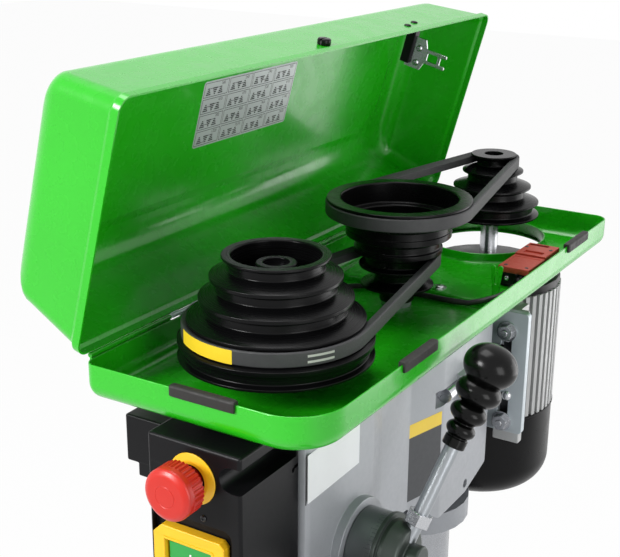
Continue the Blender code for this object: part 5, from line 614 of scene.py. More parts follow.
def banded_loop(name, wheels, section, height, look, nodes=(), span=None):
    """A section of (out, up) points carried round a belt's line, or over a span of the first wheel."""
    first, first_radius, second, second_radius = wheels
    bm = bmesh.new()
    loops = []
    for out, up in section:
        line = belt_line(first, first_radius + out, second, second_radius + out)
        if span:
            line = arc((0, first), first_radius + out, *span, 32)
        loops.append([bm.verts.new((x, y, height + up)) for x, y in line])
    bridge(bm, loops + loops[:1], len(loops[0]) - 1 if span else len(loops[0]))
    if span:
        for end in (0, -1):
            bm.faces.new([loop[end] for loop in loops])
    finish(solid(name, bm), look, "stand", *nodes)


# The printed band and size mark on the lower belt, as angles round the spindle's pulley
BAND_SPAN = (math.radians(232), math.radians(277.5))
MARK_SPAN = (math.radians(321), math.radians(338))
BAND_HALF = 0.0056
MARK_HALF = 0.0009
MARK_RISE = 0.0023


def make_belts():
    half, inner, outside, inside = BELT_WIDTH / 2, BELT_WIDTH / 2 - BELT_THICKNESS * BELT_SLOPE, 0.0012, 0.0009
    corners = [(0, -half, outside), (-BELT_THICKNESS, -inner, inside)]
    corners += [(-BELT_THICKNESS, inner, inside), (0, half, outside)]
    section = rounded(corners, 3)
    lower = (SPINDLE_Y, SPINDLE_BELTS[LOWER_BELT_GROOVE], IDLER_Y, IDLER_BELTS[LOWER_BELT_GROOVE])
    upper = (IDLER_Y, IDLER_BELTS[0], MOTOR_Y, MOTOR_BELTS[0])
    height = RIM + LOWER_BELT_LEVEL
    banded_loop("lower_v_belt", lower, section, height, "belt_rubber", ["lower_belt"])
    banded_loop("upper_v_belt", upper, section, RIM + IDLER_TOP_GROOVE, "belt_rubber", ["upper_belt"])
    for name, span, look, half, rise in (
        ("belt_band", BAND_SPAN, "band_yellow", BAND_HALF, 0),
        ("belt_mark_upper", MARK_SPAN, "mark_grey", MARK_HALF, MARK_RISE),
        ("belt_mark_lower", MARK_SPAN, "mark_grey", MARK_HALF, -MARK_RISE),
    ):
        low, high = rise - half, rise + half
        strip = ((HAIR / 2, low), (HAIR / 2, high), (HAIR * 2, high), (HAIR * 2, low))
        banded_loop(name, lower, strip, height, look, span=span)


# The lid, in its own closed frame: u to the right of the hinge line, y from the spindle, d up from the rim
OPEN_ANGLE = math.radians(74.7)
LID_WIDTH = 0.213
LID_FRONT = 0.114
LID_BACK = 0.509
LID_RIM = 0.0015
LID_LIP = 0.0095
LID_JOGGLE = 0.0020
LID_JOGGLE_RUN = 0.0030
LID_DEPTH = 0.088
LID_SLOPES = [math.tan(math.radians(degrees)) for degrees in (10, 7, 6)]
LID_CORNER = 0.012
LID_CORNER_GROWTH = 0.8
LID_TURN = 0.025
PANEL_MARGIN = 0.0175
PANEL_BEVEL = 0.0100
PANEL_PRESS = 0.0030
PANEL_ROUNDING = 0.0012
# The two hinges on their line, and the stretches of the line beside them
HINGE_Y = (0.020, 0.400)
HINGE_SPANS = ((-0.100, -0.001), (0.041, 0.379), (0.421, 0.495))
KNUCKLE = 0.0021
KNUCKLE_ENDS = (0.009, 0.019)
LID_PLACE = shift(HINGE.x, SPINDLE_Y, HINGE.z) @ Matrix.Rotation(-OPEN_ANGLE, 4, "Y")


def lid_outline(depth, inset):
    """The lid's outer outline at a depth, drafted on each side and drawn in by inset."""
    run = max(depth - LID_RIM - LID_LIP, 0)
    left, right, end = (run * slope + inset for slope in LID_SLOPES)
    radius = LID_CORNER + inset * LID_CORNER_GROWTH
    return rounded_box(left + LID_RIM, LID_WIDTH - right, end - LID_FRONT, LID_BACK - end, radius, 10)


def hinge_pin(name, start, end, look):
    corners = pin(KNUCKLE, start, end, FIT, FIT)
    turned(name, corners, LID_PLACE @ along((0, 1, 0), (0, 0, 0)), look, "lid", steps=24, soft=2)


def make_lid():
    lip_end = LID_RIM + LID_LIP
    wall_end = LID_DEPTH - LID_TURN
    turn_end = LID_JOGGLE + LID_TURN
    margin = LID_JOGGLE + LID_TURN / 2 + PANEL_MARGIN
    pressed = LID_DEPTH - PANEL_PRESS
    wall = [(0, LID_RIM, 0), (0, lip_end - LID_JOGGLE_RUN, LID_JOGGLE)]
    wall += [(LID_JOGGLE, lip_end, LID_JOGGLE), (LID_JOGGLE, wall_end, 0)]
    panel = [(turn_end, LID_DEPTH, 0), (margin, LID_DEPTH, PANEL_ROUNDING)]
    panel += [(margin + PANEL_BEVEL, pressed, PANEL_ROUNDING), (margin + 2 * PANEL_BEVEL, pressed, 0)]
    profile = rounded(wall, 3, False) + arc((turn_end, wall_end), LID_TURN, math.pi, QUARTER, 9)[1:]
    profile += rounded(panel, 4, False)[1:]
    rings = [(lid_outline(min(depth, wall_end), inset), depth) for inset, depth in profile]
    lid = thickened(loft("lid_shell", rings, close_first=False), even=True)
    lid = bevelled(lid, SHEET / 4, 60, clamp=True)
    finish(moved(lid, LID_PLACE), "green_paint", "lid", "pulley_lid")

    near, far = KNUCKLE_ENDS
    half = (far - near) / 2 - FIT
    for number, y in enumerate(HINGE_Y):
        for side in (-1, 1):
            start, end = (y + side * (far + near) / 2 + reach for reach in (-half, half))
            hinge_pin(f"lid_knuckle_{number}_{side}", start, end, "zinc_plate")
            low, high = (0, start, KNUCKLE / 2), (LID_RIM + SHEET / 2, end, LID_LIP - LID_JOGGLE_RUN)
            strap = block(f"lid_strap_{number}_{side}", low, high)
            finish(moved(strap, LID_PLACE), "zinc_plate", "lid")
    # The rolled edge between the hinges closes the gap over the tray
    for number, (front, back) in enumerate(HINGE_SPANS):
        hinge_pin(f"lid_rolled_edge_{number}", front, back, "green_paint")


# The speed chart inside the lid
CHART_U = (0.097, 0.161)
CHART_Y = (0.106, 0.258)
CHART_ROWS = 4
CHART_GAP = 0.0016
CHART_LINE = 0.0005
CHART_SPEEDS = (
    (180, 240, 290, 350), (410, 470, 530, 610), (700, 800, 960, 1140), (1320, 1510, 1840, 2400)
)
# In shares of a cell: each cone's middle and whether it widens upwards, and the levels of its steps
CHART_CONES = ((0.18, False), (0.44, True), (0.68, False))
CONE_FOOT, CONE_STEP, CONE_HEIGHT = 0.14, 0.13, 0.085
CONE_HALF, CONE_GROWTH = 0.030, 0.022


def number_mesh(text, height):
    """The outline of a number as a flat mesh about its middle, reading along +X."""
    curve = bpy.data.curves.new("digits", "FONT")
    curve.body = text
    curve.size = height
    curve.align_x = "CENTER"
    curve.align_y = "CENTER"
    curve.resolution_u = 3
    return applied(linked("digits", curve))


def printed(name, look, body, bm, place):
    """Flat ink: a mesh laid on a surface and carried by a body."""
    bm.transform(place)
    obj = as_object(name, bm)
    obj.data.materials.append(LOOKS[look].material)
    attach(obj, body)


def patch(bm, x0, y0, x1, y1):
    bm.faces.new([bm.verts.new((x, y, 0)) for x, y in ((x0, y0), (x1, y0), (x1, y1), (x0, y1))])


def chart_cell(ink, x, y, width, height, row, column):
    """A frame, three stepped cones, two belts between them and a speed."""
    across, up = CHART_LINE / width, CHART_LINE / height
    patches = [(0, 0, 1, up), (0, 1 - up, 1, 1), (0, 0, across, 1), (1 - across, 0, 1, 1)]
    for middle, widens in CHART_CONES:
        for level in range(CHART_ROWS):
            half = CONE_HALF + CONE_GROWTH * (level if widens else CHART_ROWS - 1 - level)
            low = CONE_FOOT + CONE_STEP * level
            patches.append((middle - half, low, middle + half, low + CONE_HEIGHT))
    for step, left, right in ((row, 0.12, 0.50), (column, 0.38, 0.74)):
        low = CONE_FOOT + CONE_STEP * (CHART_ROWS - 1 - step) + 0.03
        patches.append((left, low, right, low + up))
    for x0, y0, x1, y1 in patches:
        patch(ink, x + x0 * width, y + y0 * height, x + x1 * width, y + y1 * height)
    digits = number_mesh(str(CHART_SPEEDS[row][column]), height * 0.30)
    ink.from_mesh(moved(digits, shift(x + width * 0.76, y + height * 0.80, 0)).data)
    bpy.data.objects.remove(digits)


def make_chart():
    """Laid on the panel's inner face: its x runs along the lid and its y away from the hinge line."""
    middle = (sum(CHART_U) / 2, sum(CHART_Y) / 2, LID_DEPTH - PANEL_PRESS - SHEET - HAIR)
    place = LID_PLACE @ shift(*middle) @ Matrix(((0, 1, 0), (1, 0, 0), (0, 0, -1))).to_4x4()
    length, width = CHART_Y[1] - CHART_Y[0], CHART_U[1] - CHART_U[0]
    outline = rounded_box(-length / 2, length / 2, -width / 2, width / 2, 0.003, 5)
    finish(slab("speed_chart", outline, HAIR, place), "chart_silver", "lid")
    ink = bmesh.new()
    cell_w, cell_h = ((size - CHART_GAP * (CHART_ROWS + 1)) / CHART_ROWS for size in (length, width))
    for row in range(CHART_ROWS):
        for column in range(CHART_ROWS):
            x = -length / 2 + CHART_GAP + column * (cell_w + CHART_GAP)
            y = width / 2 - CHART_GAP - (row + 1) * cell_h - row * CHART_GAP
            chart_cell(ink, x, y, cell_w, cell_h, row, column)
    printed("speed_chart_print", "ink", "lid", ink, place @ shift(0, 0, HAIR))


def screw(name, place, radius, height, look, body):
    """A small pan head with a cross, on a local +Z face."""
    rim = radius * 0.35
    corners = [(0, height, 0), (radius * 0.7, height, rim), (radius, height * 0.45, rim / 2), (radius, 0, 0)]
    head = lathe(name, rounded(corners + [(0, 0, 0)], 4, False), HERE, 40)
    low, high = (-radius * 0.62, -radius * 0.11, height * 0.45), (radius * 0.62, radius * 0.11, height * 2)
    slots = [moved(block("slot", low, high, 0), Matrix.Rotation(turn, 4, "Z")) for turn in (0, QUARTER)]
    finish(moved(cut(head, *slots), place), look, body)


def hex_nut(name, place, radius, height, look, body, bore=0.0, turn=0.0):
    """A hexagon with chamfered corners, standing on a local +Z face."""
    nut = slab(name, circle(radius, 6, turn), height, shift(0, 0, height / 2))
    flat = radius * math.cos(math.pi / 6)
    drop = (radius - flat) * 0.62
    wide, top = radius * 1.2, height + HAIR
    cone = ((0, -height), (wide, -height), (wide, height - drop * 1.7), (flat * 0.97, top), (0, top))
    nut = combined("INTERSECT", nut, lathe("chamfer", cone, HERE, 48))
    if bore:
        nut = cut(nut, drill(bore, -height, 3 * height))
    finish(moved(bevelled(nut, radius * 0.03, 20), place), look, body)


# Fittings on the lid: (y, depth) of the knob and the key's screws on the right wall
KNOB_AT = (0.180, 0.018)
KNOB_RADIUS, KNOB_LENGTH = 0.0062, 0.006
KEY_SCREWS = ((0.345, 0.0195), (0.367, 0.0235))
WELD_AT = (0.019, 0.060, 0.071)


def right_wall(y, depth):
    """A place on the lid's outer right wall."""
    slope = LID_SLOPES[1]
    u = LID_WIDTH - LID_JOGGLE - (depth - LID_RIM - LID_LIP) * slope
    return LID_PLACE @ along((1, 0, slope), (u, y, depth))


def make_lid_fittings():
    wall = right_wall(*KNOB_AT)
    knob, length = KNOB_RADIUS, KNOB_LENGTH
    corners = ((0, FIT, 0), (knob, FIT, 0.0006), (knob, length, 0.0016), (0, length * 1.04, 0))
    head = lathe("lid_knob_head", rounded(corners, 4, False), HERE, 48)
    head = cut(head, block("slot", (-knob, -0.0007, length - 0.0016), (knob, 0.0007, 2 * length), 0))
    finish(moved(head, wall), "gloss_black", "lid", "lid_knob")
    inside = wall @ Matrix.Rotation(math.pi, 4, "X") @ shift(0, 0, SHEET + FIT)
    hex_nut("lid_knob_nut", inside, 0.0050, 0.0045, "gloss_black", "lid")
    for number, place in enumerate(KEY_SCREWS):
        screw(f"key_screw_{number}", right_wall(*place), 0.0036, 0.0016, "gloss_black", "lid")
    u, run, depth = WELD_AT
    face = LID_PLACE @ along(TO_FRONT, (u, LID_BACK - SHEET - LID_JOGGLE - run * LID_SLOPES[2], depth))
    boss = ((0, 0.0022, 0), (0.0028, 0.0022, 0.0008), (0.0050, 0.0006, 0.0006), (0.0050, 0, 0), (0, 0, 0))
    turned("lid_stud_weld", boss, face, "green_paint", "lid", steps=32, soft=3)


# The interlock key on the lid
KEY_U = 0.1825
KEY_Y = 0.3645
KEY_HALF = 0.0075
KEY_TINE = 0.0035
KEY_TIP = -0.0230
KEY_FORK = 0.0062
KEY_THICKNESS = 0.0022
KEY_PLATE_HALF = 0.016
KEY_PLATE_END = 0.021


def make_key():
    tine, cross, small = KEY_TINE, KEY_TIP + KEY_FORK, KEY_TINE * 0.3
    half = [(KEY_HALF - tine, cross), (KEY_HALF - tine, KEY_TIP), (KEY_HALF, KEY_TIP), (KEY_HALF, 0)]
    half += [(KEY_PLATE_HALF, tine), (KEY_PLATE_HALF, KEY_PLATE_END)]
    sides = half + [(-x, y) for x, y in reversed(half)]
    outline = rounded([(KEY_U + x, y, small) for x, y in sides], 3)
    left, right = KEY_U - KEY_HALF + tine, KEY_U + KEY_HALF - tine
    window = rounded_box(left, right, cross + tine * 0.9, -tine * 0.6, small, 3)
    key = slab("key_plate", outline, KEY_THICKNESS, facing("Y", (0, KEY_Y, 0)), [window], 0.0003, 2)
    finish(moved(key, LID_PLACE), "bright_steel", "lid", "interlock_key")
    low, high, reach = 0.0150, 0.0250, 0.0050
    wall = LID_WIDTH - LID_JOGGLE - SHEET - 2 * FIT - low * LID_SLOPES[1]
    start = KEY_U - KEY_PLATE_HALF + tine
    holder = block("key_bracket", (start, KEY_Y - reach, low), (wall, KEY_Y + reach, high), 0.0008)
    finish(moved(holder, LID_PLACE), "box_plastic", "lid")
    for number, u in enumerate((-0.0095, 0.0055)):
        face = LID_PLACE @ along(TO_FRONT, (KEY_U + u, KEY_Y - KEY_THICKNESS / 2, 0.0085))
        screw(f"key_plate_screw_{number}", face, 0.0032, 0.0018, "bright_steel", "lid")


# The belt tray and the raised plate round the motor's opening
TRAY_HALF = 0.104
TRAY_FRONT = 0.110
TRAY_BACK = 0.505
TRAY_FLOOR = RIM - 0.0305
TRAY_TURN = 0.014
TRAY_CORNERS = (0.016, 0.016, 0.010, 0.042)
TRAY_HOLES = ((0, 0, 0.019), (0, 0.205, 0.0143), (-0.074, 0.120, 0.007))
FOLD_OUT = 0.0022
OPENING_AT = (0, SPINDLE_Y + 0.410)
OPENING_RADIUS = 0.0595
OPENING_RUN = 0.010
RISER_HALF = 0.084
RISER_Y = (0.240, 0.489)
RISER_TOP = TRAY_FLOOR + SHEET + FIT + 0.005
RISER_CORNER = 0.012
RISER_FOLD = 0.0030
RISER_LIP = 0.010
RISER_SCREW = (0.020, 0.254)
FORK_AT = (0.0755, 0.262)
FORK_WIDTH, FORK_HEIGHT = 0.013, 0.030
FORK_SLOT, FORK_DEPTH = 0.003, 0.019


def tray_outline(inset):
    radii = tuple(max(radius - inset, SHEET / 2) for radius in TRAY_CORNERS)
    side = TRAY_HALF - inset
    return rounded_box(-side, side, SPINDLE_Y - TRAY_FRONT + inset, SPINDLE_Y + TRAY_BACK - inset, radii, 12)


def make_tray():
    corner = (TRAY_TURN, TRAY_FLOOR + TRAY_TURN)
    bead = SHEET / 2
    profile = arc(corner, TRAY_TURN, -QUARTER, -math.pi, 9) + arc((bead, RIM - bead), bead, math.pi, 0, 6)
    profile += arc(corner, TRAY_TURN - SHEET, math.pi, 1.5 * math.pi, 9)
    tray = loft("belt_tray", [(tray_outline(inset), z) for inset, z in profile])
    holes = [
        drill(radius, -0.01, 0.01, shift(x, SPINDLE_Y + y, TRAY_FLOOR), 64) for x, y, radius in TRAY_HOLES
    ]
    opening = obround(OPENING_AT, OPENING_RUN, OPENING_RADIUS + SHEET, 32)
    holes.append(slab("opening", opening, 0.02, shift(0, 0, TRAY_FLOOR)))
    finish(cut(tray, *holes), "green_paint", "stand", "pulley_tray")
    for number, (front, back) in enumerate(HINGE_SPANS):
        low, high = point(-TRAY_HALF - FOLD_OUT, front, -0.006), point(-TRAY_HALF + FIT, back, -0.0002)
        finish(block(f"tray_folded_edge_{number}", low, high, 0.0006), "green_paint", "stand")


def riser_outline(inset):
    half = RISER_HALF - inset
    front, back = (SPINDLE_Y + y for y in RISER_Y)
    return rounded_box(-half, half, front + inset, back - inset, max(RISER_CORNER - inset, 0.002), 10)


def make_riser():
    fold, top, foot = RISER_FOLD, RISER_TOP, TRAY_FLOOR + SHEET + FIT
    side = rounded(((0, foot, 0), (0, top - fold / 2, fold), (fold, top, fold), (3 * fold, top, 0)), 5, False)
    rings = [(riser_outline(inset), z) for inset, z in side]
    plate = thickened(loft("motor_opening_skin", rings, close_first=False))
    hole = obround(OPENING_AT, OPENING_RUN, OPENING_RADIUS - SHEET, 40)
    plate = cut(plate, slab("hole", hole, 0.05, shift(0, 0, top)))
    finish(plate, "green_paint", "stand", "motor_opening_plate")
    lip = arc((OPENING_RADIUS + 2 * SHEET, top + 2 * SHEET), 2 * SHEET, -QUARTER, -math.pi, 5)
    lip += arc((OPENING_RADIUS - SHEET / 2, top + RISER_LIP - SHEET / 2), SHEET / 2, 0, math.pi, 5)
    lip += [(OPENING_RADIUS - SHEET, top - SHEET)]
    rings = [(obround(OPENING_AT, OPENING_RUN, radius, 40), z) for radius, z in lip]
    finish(loft("motor_opening_lip", rings, False, False), "green_paint", "stand")
    x, y = RISER_SCREW
    place = shift(x, SPINDLE_Y + y, top)
    screw("riser_screw", place, 0.0052, 0.0024, "bright_steel", "stand")
    inner, outer, height = 0.0030, 0.0078, 0.0009
    washer = ((inner, 0, 0), (outer, 0, 0), (outer, height, FIT), (inner, height, 0))
    turned("riser_washer", washer, place, "bright_steel", "stand", soft=2, closed=True)

    low, high = top + FIT, top + FIT + FORK_HEIGHT
    x, y = FORK_AT
    wide, half = FORK_WIDTH / 2, FORK_SLOT / 2
    tip, waist = (wide - half) / 2, low + FORK_HEIGHT * 0.42
    side = [(wide - FORK_SLOT, low, 0), (wide - FORK_SLOT * 0.7, waist, 0.01), (wide, high, tip)]
    side += [(half, high, tip), (half, high - FORK_DEPTH, half)]
    fork = side + [(-out, z, radius) for out, z, radius in reversed(side)]
    fork = rounded([(x + out, z, radius) for out, z, radius in fork], 5)
    made = slab("cable_fork_plate", fork, SHEET, facing("Y", (0, SPINDLE_Y + y, 0)), edge=0.0004)
    finish(made, "green_paint", "stand", "cable_fork")


# Rubber channels pushed over the tray's rim, with softened ends
BUMPER_HALF, BUMPER_SKIRT, BUMPER_THICK, BUMPER_FLARE = 0.0285, 0.006, 0.003, 0.0016


def make_bumper(node, place):
    wall, skirt, thick, flare = SHEET, BUMPER_SKIRT, BUMPER_THICK, BUMPER_FLARE
    outside = [(thick, thick, 0.0022), (thick, -skirt, 0.0009)]
    side = outside + [(FIT, -skirt, 0.0004), (FIT, FIT, 0.0003)]
    corners = [(wall + out, z, radius) for out, z, radius in side]
    corners += [(-out, z, radius) for out, z, radius in reversed(side)]
    section = rounded(corners)
    middle = wall / 2
    loops = []
    for end in (-1, 1):
        steps = [(BUMPER_HALF, 0.80), (BUMPER_HALF - flare, 0.97), (BUMPER_HALF - 3 * flare, 1)]
        for x, grow in steps[::-end]:
            loops.append([
                (
                    end * x,
                    middle + (y - middle) * (grow if abs(y - middle) > wall else 1),
                    z if z < thick / 2 else z * grow,
                )
                for y, z in section
            ])
    finish(moved(skin(node + "_strip", loops), place), "bumper_rubber", "stand", node)


def make_bumpers():
    make_bumper("bumper_front", Matrix.Translation(point(0.009, -TRAY_FRONT, 0)))
    for node, y in (("bumper_right_front", 0.0445), ("bumper_right_rear", 0.4015)):
        make_bumper(node, Matrix.Translation(point(TRAY_HALF, y, 0)) @ Matrix.Rotation(QUARTER, 4, "Z"))


# The feed: its axis, the three levers and the graduated ring
LEVERS = 3
LEVER_ROOT = 0.0965
LEVER_LEAN = math.radians(14)
LEVER_FIRST = math.radians(67)
LEVER_RADIUS = 0.0065
LEVER_REACH = (0.014, 0.176)
LEVER_NUT = (0.0115, 0.030, 0.041)
LEVER_NUT_TWIST = 0.4
GRIP_START = 0.102
GRIP_LENGTH = 0.0915
GRIP_END_RADIUS = 0.0228
GRIP_COLLAR, GRIP_COLLAR_END = 0.0098, 0.008
# Beads: place and length as shares of the grip, radius as a share of its end's
GRIP_BEADS = ((0.168, 0.170, 0.55), (0.333, 0.220, 0.69), (0.542, 0.280, 0.86), (0.794, 0.412, 1.0))
GRIP_STEPS = 110


def lever_line(number):
    """The place of a lever, with +Z along it."""
    angle = LEVER_FIRST + number * TURN / LEVERS
    flat = math.cos(LEVER_LEAN)
    direction = (math.sin(LEVER_LEAN), flat * math.cos(angle), flat * math.sin(angle))
    return along(direction, (LEVER_ROOT, FEED.y, FEED.z))


def grip_profile():
    """From the collar at the lever, over the swelling beads, to the flattened ball at the end."""
    collar = ((LEVER_RADIUS + FIT, 0, 0), (GRIP_COLLAR, 0, 0.001), (GRIP_COLLAR, GRIP_COLLAR_END, 0))
    profile = rounded(collar, 3, False)
    for step in range(1, GRIP_STEPS + 1):
        height = GRIP_COLLAR_END + (GRIP_LENGTH - GRIP_COLLAR_END) * step / GRIP_STEPS
        swell = [GRIP_COLLAR * 0.9] if height < GRIP_LENGTH / 2 else [0.0]
        for place, length, share in GRIP_BEADS:
            across = (height / GRIP_LENGTH - place) / (length / 2)
            if abs(across) < 1:
                swell.append(share * GRIP_END_RADIUS * math.sqrt(1 - across * across))
        profile.append((max(swell), height))
    profile[-1] = (0, GRIP_LENGTH)
    return profile


def make_levers():
    for number in range(LEVERS):
        name = str(number + 1)
        line = lever_line(number)
        rod = pin(LEVER_RADIUS, *LEVER_REACH, 0.0008, 0.0008)
        turned("lever_rod_" + name, rod, line, "lever_steel", "feed", "feed_lever_" + name, soft=3)
        radius, low, high = LEVER_NUT
        place = line @ shift(0, 0, low)
        size = (radius, high - low)
        hex_nut("lever_nut_" + name, place, *size, "bright_steel", "feed", LEVER_RADIUS, LEVER_NUT_TWIST)
        grip = lathe("lever_grip_" + name, grip_profile(), line @ shift(0, 0, GRIP_START), 72)
        finish(grip, "gloss_black", "feed", "feed_grip_" + name)


# The hub along its axis, from x = 0, and the lobed knob that locks the ring on it
BOSS_END = 0.060
RING_RADIUS, RING_END = 0.033, 0.0835
RING_MARKS, MARK_WIDTH, MARK_START = 60, 0.0002, 0.0830
LOCK_ANGLE, LOCK_X = math.radians(188), 0.0745
LOCK_STEM, LOCK_START, LOCK_END = 0.0275, 0.036, 0.05056
LOCK_RADIUS, LOCK_LOBES, LOCK_SWELL, LOCK_FILLET = 0.013, 5, 0.13, 0.0018


def make_hub():
    place = along((1, 0, 0), (0, FEED.y, FEED.z))
    ring_start, ring_end, small, edge = 0.0838, 0.0873, 0.0004, 0.0012
    hub = [(0, 0.116, 0), (0.0135, 0.116, 0.0018), (0.0135, 0.104, edge), (0.026, 0.104, 0.004)]
    hub += [(0.030, 0.091, 0.003), (0.030, ring_end, small), (0.0345, ring_end, small)]
    hub += [(0.0345, ring_start, small), (0.026, ring_start, small), (0.026, BOSS_END + FIT, 0)]
    body = lathe("feed_hub_body", rounded(hub + [(0, BOSS_END + FIT, 0)], 5, False), place, 128)
    bores = [drill(LEVER_RADIUS + FIT, 0.012, 0.05, lever_line(number)) for number in range(LEVERS)]
    finish(cut(body, *bores), "hub_steel", "feed", "feed_hub")

    inner, start = 0.027, BOSS_END + FIT
    ring = [(inner, start, 0), (RING_RADIUS, start, edge), (RING_RADIUS, RING_END, small), (inner, RING_END, 0)]
    body = ("dark_steel", "depth_stop", "depth_ring")
    turned("depth_scale_ring", ring, place, *body, steps=128, closed=True)
    marks = bmesh.new()
    for number in range(RING_MARKS):
        length, half = 0.0035 if number % 5 else 0.0060, MARK_WIDTH / 2
        end = MARK_START - length
        corners = ((-half, MARK_START), (half, MARK_START), (half, end), (-half, end))
        turn = Matrix.Rotation(TURN * number / RING_MARKS, 4, "Z")
        marks.faces.new([marks.verts.new(turn @ Vector((RING_RADIUS + HAIR, y, x))) for y, x in corners])
    printed("depth_scale_marks", "ink", "depth_stop", marks, place)

    place = along((0, math.cos(LOCK_ANGLE), math.sin(LOCK_ANGLE)), (LOCK_X, FEED.y, FEED.z))
    head = loft("depth_knob_lobes", lobed_rings())
    finish(moved(head, place), "gloss_black", "depth_lock", "depth_ring_knob")
    stem = pin(0.0035, LOCK_STEM, LOCK_START + 0.002, 0)
    turned("depth_knob_stem", stem, place, "bright_steel", "depth_lock", steps=32)


def lobed_rings():
    """The lobed knob's outlines with their heights, rounded at both ends."""
    turns = (TURN * step / 120 for step in range(120))
    reaches = [(LOCK_RADIUS * (1 - LOCK_SWELL + LOCK_SWELL * math.cos(LOCK_LOBES * t)), t) for t in turns]
    fillet = LOCK_FILLET
    side = []
    for turn in (QUARTER * step / 5 for step in range(6)):
        side.append((fillet * (1 - math.sin(turn)), LOCK_START + fillet * (1 - math.cos(turn))))
    for turn in (QUARTER * step / 5 for step in range(6)):
        side.append((fillet * (1 - math.cos(turn)), LOCK_END - fillet * (1 - math.sin(turn))))
    shares = [(1 - inset / LOCK_RADIUS, z) for inset, z in side] + [(0.35, LOCK_END + fillet * 0.1)]
    return [([(s * r * math.cos(t), s * r * math.sin(t)) for r, t in reaches], z) for s, z in shares]


# The switch box: places on the head, in front of it
BOX_LEFT, BOX_RIGHT = -0.038, 0.046
BOX_FRONT = 0.117
BOX_BACK = 0.0383
BOX_TOP, BOX_BOTTOM = 0.037, 0.208
BOX_SCREWS = ((0.0125, 0.0945), (-0.030, 0.2015), (0.036, 0.2015))
GROOVE_DROP, GROOVE_RADIUS, GROOVE_DEPTH = 0.057, 0.010, 0.0185
SEAM_HALF = 0.0003
ESTOP_X, ESTOP_DROP = 0.004, 0.064
FRAME_X = (-0.0325, 0.0330)
FRAME_DROP = (0.109, 0.187)
FRAME_CHAMFER = 0.008
FRAME_RIM = 0.011
FRAME_PROUD = 0.004
RECESS_DEPTH = 0.005
LATCH = (
    (-0.0046, -0.079, 0.0006), (-0.0046, -0.076, 0), (-0.001, -0.074, 0.0012), (0.004, -0.074, 0),
    (0.004, -0.0765, 0.0005), (-0.0012, -0.0765, 0.0012), (-0.0022, -0.079, 0.0006),
)


def box_face(x, drop):
    """A place on the front of the switch box, facing the operator."""
    return along(TO_FRONT, point(x, -BOX_FRONT, -drop))


def make_switch_box():
    inward, back = BOX_LEFT + 0.004, -BOX_BACK
    box = block("box", point(BOX_LEFT, -BOX_FRONT, -BOX_BOTTOM), point(BOX_RIGHT, back, -BOX_TOP), 0.0028, 5)
    upper = block("side", point(-0.082, -0.090, -0.085), point(inward, back, -0.045), 0.0018, 4)
    lower = block("side_foot", point(-0.071, -0.0897, -0.096), point(inward, back - FIT, -0.074), 0.0014, 4)
    box = join(box, upper, lower)
    start, end = BOX_RIGHT - GROOVE_DEPTH, BOX_RIGHT + GROOVE_DEPTH + GROOVE_RADIUS
    low, high = -GROOVE_DROP - GROOVE_RADIUS, -GROOVE_DROP + GROOVE_RADIUS
    channel = ((end, low, 0), (start, low, GROOVE_RADIUS), (start, high, GROOVE_RADIUS), (end, high, 0))
    run = BOX_FRONT - BOX_BACK - 0.004
    middle = facing("Y", point(0, -BOX_FRONT + run / 2 - 0.005, 0))
    recess = rounded_box(-0.035, 0.037, -0.196, -0.100, 0.007)
    box = cut(
        box,
        slab("groove", rounded(channel, 10), run + 0.01, middle),
        slab("recess", recess, 2 * RECESS_DEPTH, facing("Y", point(0, -BOX_FRONT, 0))),
        drill(0.0085, -0.02, 0.01, box_face(ESTOP_X, ESTOP_DROP), 48),
        slab("latch", rounded(LATCH, 3), 0.006, facing("X", point(BOX_RIGHT, back - 0.0055, 0))),
    )
    finish(applied(bevelled(box, 0.0007, 42)), "box_plastic", "stand", "switch_box")

    line = bmesh.new()
    path = [(BOX_LEFT + 0.0006, -0.0595), (-0.029, -0.0600)]
    path += arc((-0.0290, -0.0680), 0.0080, QUARTER, 0, 8) + [(-0.0210, -0.0800)]
    for start, end in zip(path, path[1:]):
        start, end = Vector(start), Vector(end)
        run = end - start
        if run.length < WELD:
            continue
        side = Vector((-run.y, run.x)).normalized() * SEAM_HALF
        corners = (start + side, end + side, end - side, start - side)
        line.faces.new([line.verts.new(point(x, -BOX_FRONT - HAIR / 2, z)) for x, z in corners])
    printed("box_seam", "seam", "stand", line, HERE)
    for number, place in enumerate(BOX_SCREWS):
        screw(f"box_screw_{number}", box_face(*place), 0.0026, 0.0014, "dark_screw_and_painted_shadow", "stand")


